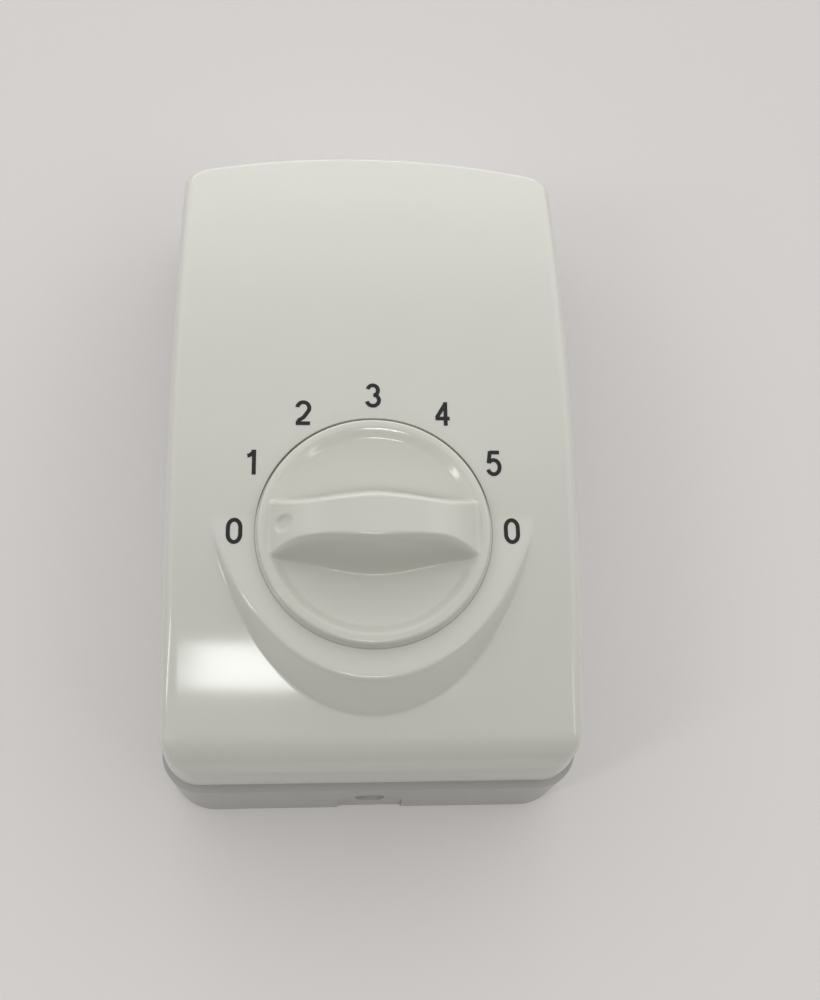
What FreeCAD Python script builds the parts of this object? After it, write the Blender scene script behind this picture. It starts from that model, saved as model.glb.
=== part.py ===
import FreeCAD, Part
import math
import os

from FreeCAD import Vector

# Wall-mounted rotary fan speed controller: a moulded box with a tapped transformer in its
# upper half and a seven-position rotary switch behind a dished knob in its lower half.
# Millimetres. The origin is the centre of the rear face, +Z points out of the wall,
# +Y towards the top end (the numeral 3) and +X to the right.

# Case
case_width = 80.0
case_length = 139.0
case_depth = 42.0
side_draft = 2.4
end_draft = 8.6
rear_corner = 9.0
front_corner = 4.5
top_bow = 5.5
front_end_drop = 13.96
front_edge_radius = 2.6
end_roll_radius = 13.0
end_roll_from_bottom = 11.5
case_wall = 2.2
front_wall = 2.5
floor_thickness = 2.5

# Parting line between the base and the cover
cover_depth = 21.9
parting_gap = 2.5
base_step = 0.55
lip_height = 4.4
lip_thickness = 1.3
lip_root = 4.6
lip_clearance = 0.15

# Raised dial seat on the lower front
seat_drop = 1.1
seat_half_width = 33.0
seat_half_length = 49.6
seat_centre_above_knob = 22.5
seat_draft = 36.0

# Knob and its well
knob_radius = 22.1
knob_proud = 2.0
knob_side_taper = 0.6
knob_rim_width = 1.9
knob_wall = 2.0
knob_running_gap = 0.3
knob_floor_gap = 0.5
dish_depth = 2.6
dish_wall = 1.8
well_depth = 7.0
well_wall = 2.0
well_floor = 2.4

# Grip bar across the knob
bar_rise = 10.8
bar_half_length = 18.4
bar_arch_power = 2.4
bar_arch_root = 0.62
bar_plan_x = [0.0, 5.0, 10.0, 13.5, 16.5, 20.5]
bar_crest_half_width = [4.2, 3.8, 3.1, 2.6, 2.6, 2.6]
bar_foot_half_width = [8.4, 8.0, 7.2, 6.9, 6.8, 6.8]
bar_wall = 1.7
bar_hollow_half_length = 13.0
pointer_radius = 1.8
pointer_depth = 0.6
pointer_offset = 16.6
hub_radius = 5.2

# Shaft, bush and fasteners of the switch
shaft_radius = 3.0
shaft_clearance = 0.04
shaft_flat = 1.5
shaft_lower_flat = 2.2
shaft_below_crest = 4.5
bush_radius = 5.0
bush_projection = 3.8
bush_flange_radius = 7.0
bush_flange = 1.0
nut_across_flats = 14.0
nut_height = 2.5
washer_radius = 8.6
washer_thickness = 0.8
thread_clearance = 0.06
circlip_thickness = 0.6
circlip_gap = 0.3
circlip_outer = 4.4
circlip_groove_radius = 2.5
clip_thickness = 0.4
clip_width = 4.0

# Switch stack
switch_plate_thickness = 1.2
switch_plate_half_width = 19.0
switch_plate_upper = 15.4
switch_plate_lower = 12.0
stack_screw_x = 15.0
stack_screw_y = -5.0
stack_screw_radius = 1.5
stack_head_radius = 2.8
stack_head_height = 2.0
spacer_length = 8.1
spacer_wall = 1.2
wafer_radius = 19.2
wafer_thickness = 1.6
wafer_hole_radius = 10.0
contact_width = 2.2
contact_thickness = 0.4
contact_reach = 21.4
contact_inner = 7.9
common_inner = 5.7
rotor_radius = 9.6
rotor_thickness = 1.5
rotor_hub_radius = 4.5
rotor_gap = 0.3
position_count = 7
position_angle = 30.0

# Detent
detent_wheel_radius = 11.2
detent_wheel_thickness = 3.0
detent_wheel_drop = 1.4
detent_notch_radius = 1.7
detent_notch_circle = 11.6
detent_nose_radius = 1.35
detent_leaf_y = 13.2
detent_leaf_thickness = 0.4
detent_leaf_half_length = 13.0
detent_tab_inner = 9.0
detent_tab_thickness = 1.2

# Transformer
core_width = 57.0
core_leg = 19.0
core_below_front = 17.0
core_underside = 11.0
core_hole_margin = 4.75
core_screw_radius = 1.7
core_screw_head = 3.2
core_screw_head_height = 2.2
bobbin_wall = 1.0
bobbin_flange = 1.2
bobbin_clearance = 0.15
winding_build = 6.0
post_radius = 4.2

# Terminal block
terminal_count = 4
terminal_pitch = 9.0
terminal_length = 13.0
terminal_height = 13.0
plinth_height = 2.5
cage_width = 5.2
cage_height = 5.8
cage_lift = 3.1
cage_clearance = 0.1
cage_hole_radius = 1.6
terminal_screw_radius = 1.4
terminal_head_radius = 2.1
terminal_head_height = 1.8
terminal_well_radius = 2.5
block_screw_radius = 1.2
block_head_radius = 2.8
block_head_height = 2.0

# Openings through the floor
wall_slot_spacing = 60.3
wall_slot_radius = 2.25
wall_slot_length = 9.0
top_hole_radius = 2.25
cable_entry_width = 26.0
cable_entry_length = 15.0
cable_entry_corner = 3.0

# Cover screw at the bottom end and hooks at the top end
screw_height = 7.0
pocket_width = 13.0
pocket_depth = 0.4
pocket_height = 12.5
screw_head_radius = 2.7
screw_head_height = 2.0
screw_head_sink = 2.4
screw_radius = 1.6
screw_length = 5.6
head_clearance = 0.25
screw_boss_radius = 5.0
screw_boss_depth = 6.2
tongue_width = 11.0
tongue_thickness = 2.6
tongue_gap = 0.3
hook_offset = 20.0
hook_width = 8.0
hook_thickness = 1.6
hook_barb = 2.6
hook_barb_height = 1.8
hook_play = 0.3

# Wiring
lead_radius = 0.8
lead_before_core = 0.25

# Numerals
numeral_circle = 25.5
numeral_spread = 0.95
numeral_height = 4.85
numeral_stroke = 0.62
ink_thickness = 0.1

# Places along the case, measured from its bottom end or its top end
knob_from_bottom = 47.0
terminal_from_bottom = 19.0
wall_slot_from_bottom = 33.5
cable_entry_from_bottom = 34.0
top_hole_from_top = 6.5
core_from_top = 11.75
core_from_contacts = 11.35

# Levels and places worked out from the sizes above
knob_axis_y = knob_from_bottom - case_length / 2
terminal_centre_y = terminal_from_bottom - case_length / 2
terminal_face_y = terminal_centre_y + terminal_length / 2
wall_slot_y = wall_slot_from_bottom - case_length / 2
cable_entry_y = cable_entry_from_bottom - case_length / 2
top_hole_y = case_length / 2 - top_hole_from_top
seat_centre_y = knob_axis_y + seat_centre_above_knob
core_near_y = knob_axis_y + contact_reach + core_from_contacts
core_length = case_length / 2 - core_from_top - core_near_y
core_centre_y = core_near_y + core_length / 2
core_stack = case_depth - core_below_front - core_underside
core_hole_x = core_width - 2 * core_hole_margin
core_hole_y = core_length - 2 * core_hole_margin
base_height = case_depth - cover_depth - parting_gap
arch_radius = ((case_length / 2) ** 2 + front_end_drop ** 2) / (2 * front_end_drop)
seat_level = case_depth - seat_drop
arch_centre_z = case_depth - arch_radius
roll_turn = math.asin((case_length / 2 - end_roll_from_bottom) / arch_radius)
roll_centre_y = -(arch_radius - end_roll_radius) * math.sin(roll_turn)
roll_centre_z = arch_centre_z + (arch_radius - end_roll_radius) * math.cos(roll_turn)
well_floor_level = seat_level - well_depth
well_underside = well_floor_level - well_floor
well_radius = knob_radius + knob_running_gap
rim_level = seat_level + knob_proud
rim_outer = knob_radius - knob_side_taper
rim_inner = rim_outer - knob_rim_width
dish_floor = rim_level - 0.6 - dish_depth
bar_top = seat_level + bar_rise
shaft_tip = bar_top - shaft_below_crest
bush_end = well_floor_level + bush_projection
circlip_level = bush_end + circlip_gap
hub_underside = circlip_level + circlip_thickness + 0.6
plate_top = well_underside
plate_underside = plate_top - switch_plate_thickness
bush_underside = plate_underside - bush_flange
wheel_top = plate_underside - detent_wheel_drop
wheel_underside = wheel_top - detent_wheel_thickness
wafer_top = plate_underside - spacer_length
wafer_underside = wafer_top - wafer_thickness
rotor_contact_top = wafer_top - rotor_gap
rotor_top = rotor_contact_top - contact_thickness
rotor_underside = rotor_top - rotor_thickness
shaft_foot = rotor_underside - 1.4
cover_foot = base_height + parting_gap
lip_top = base_height + lip_height
lip_inset = case_wall + lip_clearance
core_mid_z = core_underside + core_stack / 2
window_width = (core_width - 2 * core_leg) / 2
window_length = core_length - core_leg
top_plane = case_depth + 1.0


def box(x0, x1, y0, y1, z0, z1):
    return Part.makeBox(x1 - x0, y1 - y0, z1 - z0, Vector(x0, y0, z0))


def rod(radius, z0, z1, x=0.0, y=0.0):
    return Part.makeCylinder(radius, z1 - z0, Vector(x, y, z0))


def ring(outer, inner, z0, z1, x=0.0, y=0.0):
    return rod(outer, z0, z1, x, y).cut(rod(inner, z0 - 1, z1 + 1, x, y))


def polygon(points):
    return Part.makePolygon([Vector(*p) for p in points] + [Vector(*points[0])])


def union(shapes):
    shapes = list(shapes)
    return shapes[0] if len(shapes) == 1 else shapes[0].fuse(shapes[1:])


def on_axis(shape):
    """Moves a shape modelled about the Z axis onto the knob axis."""
    moved = shape.copy()
    moved.translate(Vector(0, knob_axis_y, 0))
    return moved


def turned(shape, angle):
    moved = shape.copy()
    moved.rotate(Vector(0, 0, 0), Vector(0, 0, 1), angle)
    return moved


def hexagon(across_flats, z0, z1):
    corner = across_flats / math.sqrt(3)
    points = [(corner * math.cos(math.radians(60 * k)), corner * math.sin(math.radians(60 * k)), z0)
              for k in range(6)]
    return Part.Face(polygon(points)).extrude(Vector(0, 0, z1 - z0))


def half_width(z, inset=0.0):
    return case_width / 2 - z * math.tan(math.radians(side_draft)) - inset


def half_length(z, inset=0.0):
    return case_length / 2 - z * math.tan(math.radians(end_draft)) - inset


def corner_radius(z, inset=0.0):
    return max(rear_corner + (front_corner - rear_corner) * z / case_depth - inset, 1.0)


def outline(z, inset=0.0):
    """Plan outline of the case at height z: straight sides and bottom end, a bowed top end."""
    w, h, r = half_width(z, inset), half_length(z, inset), corner_radius(z, inset)
    bow = ((half_width(z)) ** 2 + top_bow ** 2) / (2 * top_bow) - inset
    centre_y = h - bow
    corner_x = w - r
    corner_y = centre_y + math.sqrt((bow - r) ** 2 - corner_x ** 2)
    reach = bow / (bow - r)
    touch = Vector(corner_x * reach, centre_y + (corner_y - centre_y) * reach, z)
    half_turn = math.atan2(corner_y - centre_y, corner_x) / 2
    diagonal = r / math.sqrt(2)

    def mirrored(p):
        return Vector(-p.x, p.y, p.z)

    bottom_right = Vector(w - r, -h, z)
    side_low = Vector(w, -h + r, z)
    low_mid = Vector(w - r + diagonal, -h + r - diagonal, z)
    side_high = Vector(w, corner_y, z)
    high_mid = Vector(corner_x + r * math.cos(half_turn), corner_y + r * math.sin(half_turn), z)
    apex = Vector(0, h, z)
    quarter = math.asin(touch.x / bow) / 2
    between = Vector(bow * math.sin(quarter), centre_y + bow * math.cos(quarter), z)
    edges = [
        Part.LineSegment(mirrored(bottom_right), bottom_right),
        Part.Arc(bottom_right, low_mid, side_low),
        Part.LineSegment(side_low, side_high),
        Part.Arc(side_high, high_mid, touch),
        Part.Arc(touch, between, apex),
        Part.Arc(apex, mirrored(between), mirrored(touch)),
        Part.Arc(mirrored(touch), mirrored(high_mid), mirrored(side_high)),
        Part.LineSegment(mirrored(side_high), mirrored(side_low)),
        Part.Arc(mirrored(side_low), mirrored(low_mid), mirrored(bottom_right)),
    ]
    return Part.Wire([edge.toShape() for edge in edges])


def case_block(z0, z1, inset=0.0):
    return Part.makeLoft([outline(z0, inset), outline(z1, inset)], True, True)


def arch_block(offset=0.0, z0=-5.0):
    """Everything under the lengthwise arch of the front and its rolled bottom end, lowered by offset."""
    radius = arch_radius - offset
    roll = end_roll_radius - offset
    reach = case_length * 0.6
    x = -case_width

    def on_arch(turn):
        return Vector(x, -radius * math.sin(turn), arch_centre_z + radius * math.cos(turn))

    def on_roll(turn):
        return Vector(x, roll_centre_y - roll * math.sin(turn), roll_centre_z + roll * math.cos(turn))

    top_turn = -math.asin(reach / radius)
    roll_end = math.radians(75.0)
    low = on_roll(roll_end)
    edges = [
        Part.Arc(low, on_roll((roll_turn + roll_end) / 2), on_roll(roll_turn)),
        Part.Arc(on_arch(roll_turn), on_arch((roll_turn + top_turn) / 2), on_arch(top_turn)),
        Part.LineSegment(on_arch(top_turn), Vector(x, reach, z0)),
        Part.LineSegment(Vector(x, reach, z0), Vector(x, -reach, z0)),
        Part.LineSegment(Vector(x, -reach, z0), Vector(x, -reach, low.z)),
        Part.LineSegment(Vector(x, -reach, low.z), low),
    ]
    profile = Part.Wire([edge.toShape() for edge in edges])
    return Part.Face(profile).extrude(Vector(2 * case_width, 0, 0))


def ellipse_wire(half_x, half_y, z):
    centre = Vector(0, seat_centre_y, z)
    curve = Part.Ellipse(centre + Vector(0, half_y, 0), centre + Vector(half_x, 0, 0), centre)
    return Part.Wire([curve.toShape()])


def seat_block(inset=0.0, drop=0.0):
    """The flat seat: it stands proud where the arched front falls away below the knob."""
    height = 9.0
    grow = height * math.tan(math.radians(seat_draft))
    level = seat_level - drop
    top = ellipse_wire(seat_half_width - inset, seat_half_length - inset, level)
    foot = ellipse_wire(seat_half_width - inset + grow, seat_half_length - inset + grow, level - height)
    cone = Part.makeLoft([top, foot], True, True)
    merge_y = -math.sqrt(arch_radius ** 2 - (arch_radius - seat_drop) ** 2)
    lower = box(-case_width, case_width, -case_length, merge_y, level - height - 1, level + 1)
    return cone.common(lower).common(case_block(20.0, top_plane, front_edge_radius))


def front_edges(shape):
    """The edges round the front face, which is the arch and the rolled end together."""
    curved = [face for face in shape.Faces if isinstance(face.Surface, Part.Cylinder)
              and min(abs(face.Surface.Radius - r) for r in (arch_radius, end_roll_radius)) < 0.01]
    edges = [edge for face in curved for edge in face.Edges]
    return [edge for edge in edges if sum(edge.isSame(other) for other in edges) == 1]


def case_outside():
    block = case_block(0.0, top_plane).common(arch_block())
    rounded = block.makeFillet(front_edge_radius, front_edges(block))
    return rounded.fuse(seat_block()).removeSplitter()


def front_cover(outside):
    shell = outside.cut(box(-case_width, case_width, -case_length, case_length, -5, cover_foot))
    hollow = case_block(-1.0, top_plane, case_wall).common(arch_block(front_wall).fuse(
        seat_block(case_wall, front_wall)))
    shell = shell.cut(hollow)
    well = on_axis(rod(well_radius + well_wall, well_underside, top_plane)).common(outside)
    shell = shell.fuse(well)
    shell = shell.cut(on_axis(rod(well_radius, well_floor_level, top_plane + 5)))
    shell = shell.cut(on_axis(rod(bush_radius + thread_clearance, 0, top_plane)))
    parts = [shell, tongue()] + hooks() + stop_ribs()
    cover = union(parts)
    pilot = Part.makeCylinder(screw_radius, 20, Vector(0, -case_length / 2, screw_height), Vector(0, 1, 0))
    return cover.cut(pilot.common(tongue())).removeSplitter()


def inner_end(z):
    """Half length of the cavity at height z."""
    return half_length(z, case_wall)


def tongue():
    """Tongue of the cover that takes the cover screw, behind the base's bottom wall."""
    outer_y = -(half_length(screw_height) - screw_boss_depth - tongue_gap)
    top = lip_top + 5.0
    blade = box(-tongue_width / 2, tongue_width / 2, outer_y, outer_y + tongue_thickness,
                floor_thickness + 0.6, top)
    web = box(-tongue_width / 2, tongue_width / 2, -inner_end(top) - 0.4, outer_y + tongue_thickness,
              lip_top + 0.3, top)
    return blade.fuse(web)


def hooks():
    """Two hooks whose barbs catch under the foot of the base's lip at the top end."""
    made = []
    barb_top = base_height - lip_root - hook_play
    foot = barb_top - hook_barb_height
    root = lip_top + 4.0
    for side in (-1, 1):
        x0 = side * hook_offset - hook_width / 2
        x1 = x0 + hook_width
        outer = top_wall_y(hook_offset + hook_width / 2, lip_inset + lip_thickness + hook_play, lip_top)
        wall = top_wall_y(hook_offset - hook_width / 2, case_wall, root) + 0.3
        leaf = box(x0, x1, outer - hook_thickness, outer, foot, root)
        bridge = box(x0, x1, outer - hook_thickness, wall, lip_top + hook_play, root)
        barb = box(x0, x1, outer - 0.01, outer + hook_barb, foot, barb_top)
        made.append(union([leaf, bridge, barb]))
    return made


def top_wall_y(x, inset, z):
    """Y of the bowed top end at x, set in by inset, at height z."""
    radius = (half_width(z) ** 2 + top_bow ** 2) / (2 * top_bow) - inset
    return half_length(z, inset) - radius + math.sqrt(radius ** 2 - x ** 2)


def stop_ribs():
    """Four ribs inside the cover's side walls that rest on the base's lip."""
    made = []
    for side in (-1, 1):
        for y in (-case_length / 4, case_length / 4):
            outer = half_width(lip_top, case_wall) + 0.3
            inner = half_width(lip_top, lip_inset + lip_thickness)
            x0, x1 = sorted((side * inner, side * outer))
            made.append(box(x0, x1, y - 1.0, y + 1.0, lip_top, lip_top + 6.0))
    return made


def rear_base():
    """Flares a little from the rear face, so that its upper edge stands proud of the cover."""
    body = Part.makeLoft([outline(0.0), outline(base_height, -base_step)], True, True)
    body = body.cut(case_block(-1.0, top_plane, case_wall).common(
        box(-case_width, case_width, -case_length, case_length, floor_thickness, top_plane)))
    lip = case_block(base_height - lip_root, lip_top, lip_inset - 0.2)
    inside = case_block(0.0, top_plane, lip_inset + lip_thickness)
    root = case_block(base_height - lip_root, base_height, case_wall - 0.2)
    rim = case_block(base_height, lip_top, lip_inset)
    body = union([body, root.fuse(rim).common(lip.fuse(rim)).cut(inside)])
    parts = [body, screw_boss()] + core_posts() + [terminal_plinth()]
    body = union(parts)
    cuts = [cover_screw_hole(), screw_pocket(), cable_entry(), top_fixing_hole()]
    cuts += wall_slots() + core_pilots() + [block_screw_pilot()]
    return body.cut(union(cuts)).removeSplitter()


def end_hole(radius, start, length):
    """Hole along Y at the screw height; start is measured inward from the bottom wall's face."""
    y = -half_length(screw_height) + start
    return Part.makeCylinder(radius, length, Vector(0, y, screw_height), Vector(0, 1, 0))


def screw_boss():
    boss = end_hole(screw_boss_radius, case_wall / 2, screw_boss_depth - case_wall / 2)
    foot = box(-screw_boss_radius, screw_boss_radius, -half_length(screw_height) + case_wall / 2,
               -half_length(screw_height) + screw_boss_depth, floor_thickness / 2, screw_height)
    return boss.fuse(foot)


def cover_screw_hole():
    head = end_hole(screw_head_radius + head_clearance, -3.0, 3.0 + screw_head_sink + screw_head_height)
    shank = end_hole(screw_radius + head_clearance, 0, screw_boss_depth + 1)
    return head.fuse(shank)


def screw_pocket():
    """Shallow pocket in the bottom wall, with a rounded top and a drafted face, round the screw hole."""
    r = pocket_width / 2
    y0, y1 = -half_length(0) - 1, -half_length(pocket_height) + 1
    low = box(-r, r, y0, y1, -1, pocket_height - r)
    high = Part.makeCylinder(r, y1 - y0, Vector(0, y0, pocket_height - r), Vector(0, 1, 0))
    return low.fuse(high).cut(case_block(-2.0, top_plane, pocket_depth))


def cover_screw():
    head = end_hole(screw_head_radius, screw_head_sink, screw_head_height)
    shank = end_hole(screw_radius, screw_head_sink + screw_head_height, screw_length)
    y = -half_length(screw_height) + screw_head_sink
    blade = box(-0.5, 0.5, y - 1, y + 0.9, screw_height - 1.7, screw_height + 1.7)
    cross = box(-1.7, 1.7, y - 1, y + 0.9, screw_height - 0.5, screw_height + 0.5)
    return head.fuse(shank).cut(blade.fuse(cross))


def cable_entry():
    w, h = cable_entry_width / 2, cable_entry_length / 2
    hole = box(-w, w, cable_entry_y - h, cable_entry_y + h, -1, floor_thickness + 1)
    upright = [edge for edge in hole.Edges if abs(edge.tangentAt(edge.FirstParameter).z) > 0.9]
    return hole.makeFillet(cable_entry_corner, upright)


def wall_slots():
    """Two slots for the wall screws, each along X and centred on its nominal place."""
    made = []
    reach = wall_slot_length / 2 - wall_slot_radius
    for side in (-1, 1):
        x = side * wall_slot_spacing / 2
        ends = [rod(wall_slot_radius, -1, floor_thickness + 1, x + end * reach, wall_slot_y)
                for end in (-1, 1)]
        middle = box(x - reach, x + reach, wall_slot_y - wall_slot_radius, wall_slot_y + wall_slot_radius,
                     -1, floor_thickness + 1)
        made.append(union(ends + [middle]))
    return made


def top_fixing_hole():
    return rod(top_hole_radius, -1, floor_thickness + 1, 0, top_hole_y)


def core_hole_places():
    return [(sx * core_hole_x / 2, core_centre_y + sy * core_hole_y / 2) for sx in (-1, 1) for sy in (-1, 1)]


def core_posts():
    return [rod(post_radius, floor_thickness / 2, core_underside, x, y) for x, y in core_hole_places()]


def core_pilots():
    return [rod(core_screw_radius, floor_thickness + 1.5, core_underside + 1, x, y)
            for x, y in core_hole_places()]


def terminal_plinth():
    half = terminal_count * terminal_pitch / 2 - 2
    reach = terminal_length / 2 - 1
    return box(-half, half, terminal_centre_y - reach, terminal_centre_y + reach,
               floor_thickness / 2, floor_thickness + plinth_height)


def block_screw_pilot():
    return rod(block_screw_radius, 1.2, floor_thickness + plinth_height + 1, 0, terminal_centre_y)


def speed_knob():
    """Shallow dished knob with an arched grip bar, hollow from below, with a bored hub."""
    foot = well_floor_level + knob_floor_gap
    body = revolved([
        ("line", (0, foot), (knob_radius, foot)),
        ("line", (knob_radius, foot), (knob_radius, seat_level)),
        ("line", (knob_radius, seat_level), (rim_outer, rim_level - 0.9)),
        ("arc", (rim_outer, rim_level - 0.9), (rim_outer - 0.85, rim_level), (rim_inner, rim_level - 0.6)),
        ("arc", (rim_inner, rim_level - 0.6), dish_point(rim_inner / 2), (0, dish_floor)),
        ("line", (0, dish_floor), (0, foot)),
    ])
    hollow_radius = knob_radius - knob_wall
    hollow = revolved([
        ("line", (0, foot - 1), (hollow_radius, foot - 1)),
        ("line", (hollow_radius, foot - 1), (hollow_radius, seat_level - 0.6)),
        ("line", (hollow_radius, seat_level - 0.6), under_dish(rim_inner - 1.0)),
        ("arc", under_dish(rim_inner - 1.0), under_dish(rim_inner / 2), under_dish(0)),
        ("line", under_dish(0), (0, foot - 1)),
    ])
    bar = grip_bar(0.0, 0.0).common(rod(rim_inner + 0.4, foot, bar_top + 5))
    cavity = grip_bar(bar_wall, bar_wall).common(rod(bar_hollow_half_length, foot, bar_top + 5))
    hub = rod(hub_radius, hub_underside, bar_top - bar_wall)
    in_bar = rod(hub_radius, hub_underside, dish_floor).fuse(grip_bar(0.3, 0.0))
    knob = body.cut(hollow).fuse(bar).cut(cavity).fuse(hub.common(in_bar))
    knob = knob.cut(rod(hub_radius + 1.2, foot - 1, hub_underside))
    knob = knob.cut(knob_bore()).cut(pointer_dimple())
    return on_axis(knob.removeSplitter())


def dish_point(r):
    """Radius and height of the dish's upper face at radius r."""
    return (r, dish_floor + dish_depth * (r / rim_inner) ** 2)


def under_dish(r):
    return (r, dish_point(r)[1] - dish_wall)


def revolved(steps):
    """Solid of revolution about Z from a closed profile in radius and height."""
    edges = []
    for step in steps:
        points = [Vector(r, 0, z) for r, z in step[1:]]
        curve = Part.LineSegment(*points) if step[0] == "line" else Part.Arc(*points)
        edges.append(curve.toShape())
    face = Part.Face(Part.Wire(edges))
    return face.revolve(Vector(0, 0, 0), Vector(0, 0, 1), 360)


def bar_height(x):
    """Height of the bar's crest at x: a flattened arch that meets the rim's level at its ends."""
    t = min(abs(x) / bar_half_length, 1.0)
    arch = seat_level + bar_rise * (1 - t ** bar_arch_power) ** bar_arch_root
    return max(arch, rim_level - 0.3)


def bar_outline(half_widths, inset, z):
    """Closed plan outline of the bar from half widths listed along X."""
    ends = list(zip(bar_plan_x, half_widths))
    points = [Vector(-x, w - inset, z) for x, w in reversed(ends[1:])]
    points += [Vector(x, w - inset, z) for x, w in ends]
    far = Part.BSplineCurve()
    far.interpolate(points)
    near = Part.BSplineCurve()
    near.interpolate([Vector(p.x, -p.y, z) for p in points])
    reach = bar_plan_x[-1]
    w = half_widths[-1] - inset
    right = Part.LineSegment(Vector(reach, w, z), Vector(reach, -w, z))
    left = Part.LineSegment(Vector(-reach, w, z), Vector(-reach, -w, z))
    return Part.Wire(Part.sortEdges([c.toShape() for c in (far, right, near, left)])[0])


def bar_side_profile(lowered, foot):
    """Everything under the bar's crest, seen from the side, lowered by its wall thickness."""
    steps = 20
    reach = bar_plan_x[-1] + 1.0
    span = bar_half_length - 0.25
    crest = [Vector(x, -20, bar_height(x) - lowered)
             for x in (-span * math.cos(math.pi * k / steps) for k in range(steps + 1))]
    arch = Part.BSplineCurve()
    arch.interpolate(crest)
    end = rim_level - 0.3 - lowered
    points = [crest[-1], Vector(span, -20, end), Vector(reach, -20, end), Vector(reach, -20, foot),
              Vector(-reach, -20, foot), Vector(-reach, -20, end), Vector(-span, -20, end), crest[0]]
    rest = [Part.LineSegment(a, b).toShape() for a, b in zip(points, points[1:]) if (b - a).Length > 1e-6]
    face = Part.Face(Part.Wire([arch.toShape()] + rest))
    return face.extrude(Vector(0, 40, 0))


def grip_bar(inset, lowered):
    """Bar with side walls that slope from a wide foot to a narrow crest."""
    foot = dish_floor - dish_wall + (-1.0 if lowered else 0.4)
    walls = Part.makeLoft([bar_outline(bar_foot_half_width, inset, foot),
                           bar_outline(bar_crest_half_width, inset, bar_top)], True, True)
    return walls.common(bar_side_profile(lowered, foot - 0.5))


def knob_bore():
    bore_end = shaft_tip + 0.4
    bore = rod(shaft_radius + shaft_clearance, hub_underside - 1, bore_end)
    flat = shaft_flat + clip_thickness + 2 * 0.05
    return bore.common(box(-10, 10, -10, flat, hub_underside - 1, bore_end + 1))


def pointer_dimple():
    """Round hollow, square to the bar's sloping left end, that points at the numerals."""
    rise = bar_height(pointer_offset - 0.5) - bar_height(pointer_offset + 0.5)
    outward = Vector(-rise, 0, 1).normalize()
    ball = (pointer_radius ** 2 + pointer_depth ** 2) / (2 * pointer_depth)
    mouth = Vector(-pointer_offset, 0, bar_height(pointer_offset))
    return Part.makeSphere(ball, mouth + outward * (ball - pointer_depth))


def knob_spring_clip():
    """Leaf between the shaft's flat and the hub, with a foot under the hub."""
    y0 = shaft_flat + 0.05
    leaf = box(-clip_width / 2, clip_width / 2, y0, y0 + clip_thickness,
               hub_underside - 0.45, shaft_tip - 0.4)
    foot = box(-clip_width / 2, clip_width / 2, y0, hub_radius - 0.4,
               hub_underside - 0.45, hub_underside - 0.05)
    return on_axis(leaf.fuse(foot).removeSplitter())


def switch_shaft():
    shaft = rod(shaft_radius, shaft_foot, shaft_tip)
    upper = box(-10, 10, shaft_flat, 10, hub_underside - 0.6, shaft_tip + 1)
    lower = box(-10, 10, shaft_lower_flat, 10, shaft_foot - 1, bush_underside - 0.3)
    groove = ring(shaft_radius + 1, circlip_groove_radius, circlip_level, circlip_level + circlip_thickness)
    tip = shaft.cut(upper).cut(lower).cut(groove)
    return on_axis(tip)


def shaft_circlip():
    clip = ring(circlip_outer, circlip_groove_radius + 0.02, circlip_level + 0.02,
                circlip_level + circlip_thickness - 0.02)
    return on_axis(clip.cut(box(-1.6, 1.6, -6, 0, circlip_level - 1, circlip_level + 2)))


def switch_bush():
    barrel = rod(bush_radius, plate_underside, bush_end)
    flange = rod(bush_flange_radius, bush_underside, plate_underside)
    bore = rod(shaft_radius + shaft_clearance, bush_underside - 1, bush_end + 1)
    return on_axis(barrel.fuse(flange).cut(bore).removeSplitter())


def bush_washer():
    return on_axis(ring(washer_radius, bush_radius + thread_clearance, well_floor_level,
                        well_floor_level + washer_thickness))


def bush_nut():
    base = well_floor_level + washer_thickness
    nut = hexagon(nut_across_flats, base, base + nut_height)
    return on_axis(nut.cut(rod(bush_radius + thread_clearance, base - 1, base + nut_height + 1)))


def stack_screw_places():
    return [(side * stack_screw_x, stack_screw_y) for side in (-1, 1)]


def switch_front_plate():
    """Steel plate under the well's floor, with two bent tabs that hold the detent leaf."""
    plate = box(-switch_plate_half_width, switch_plate_half_width, -switch_plate_lower, switch_plate_upper,
                plate_underside, plate_top)
    tab_y = detent_leaf_y + detent_leaf_thickness
    tabs = []
    for side in (-1, 1):
        x0, x1 = sorted((side * detent_tab_inner, side * detent_leaf_half_length))
        tabs.append(box(x0, x1, tab_y, tab_y + detent_tab_thickness, wheel_underside, plate_top))
    plate = union([plate] + tabs)
    holes = [rod(bush_radius + 0.02, plate_underside - 1, plate_top + 1)]
    holes += [rod(stack_screw_radius + 0.02, plate_underside - 1, plate_top + 1, x, y)
              for x, y in stack_screw_places()]
    return on_axis(plate.cut(union(holes)).removeSplitter())


def switch_spacers():
    bore = stack_screw_radius + 0.1
    spacers = [ring(stack_screw_radius + spacer_wall, bore, wafer_top, plate_underside, x, y)
               for x, y in stack_screw_places()]
    return on_axis(Part.makeCompound(spacers))


def switch_screws():
    """Two screws that enter from under the wafer and bite in the front plate."""
    screws = []
    for x, y in stack_screw_places():
        head = rod(stack_head_radius, wafer_underside - stack_head_height, wafer_underside, x, y)
        shank = rod(stack_screw_radius, wafer_underside, plate_top - 0.1, x, y)
        slot = box(x - stack_head_radius, x + stack_head_radius, y - 0.4, y + 0.4,
                   wafer_underside - stack_head_height - 1, wafer_underside - stack_head_height + 0.8)
        screws.append(head.fuse(shank).cut(slot))
    return on_axis(Part.makeCompound(screws))


def switch_wafer():
    wafer = ring(wafer_radius, wafer_hole_radius, wafer_underside, wafer_top)
    holes = [rod(stack_screw_radius + 0.1, wafer_underside - 1, wafer_top + 1, x, y)
             for x, y in stack_screw_places()]
    return on_axis(wafer.cut(union(holes)))


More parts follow.
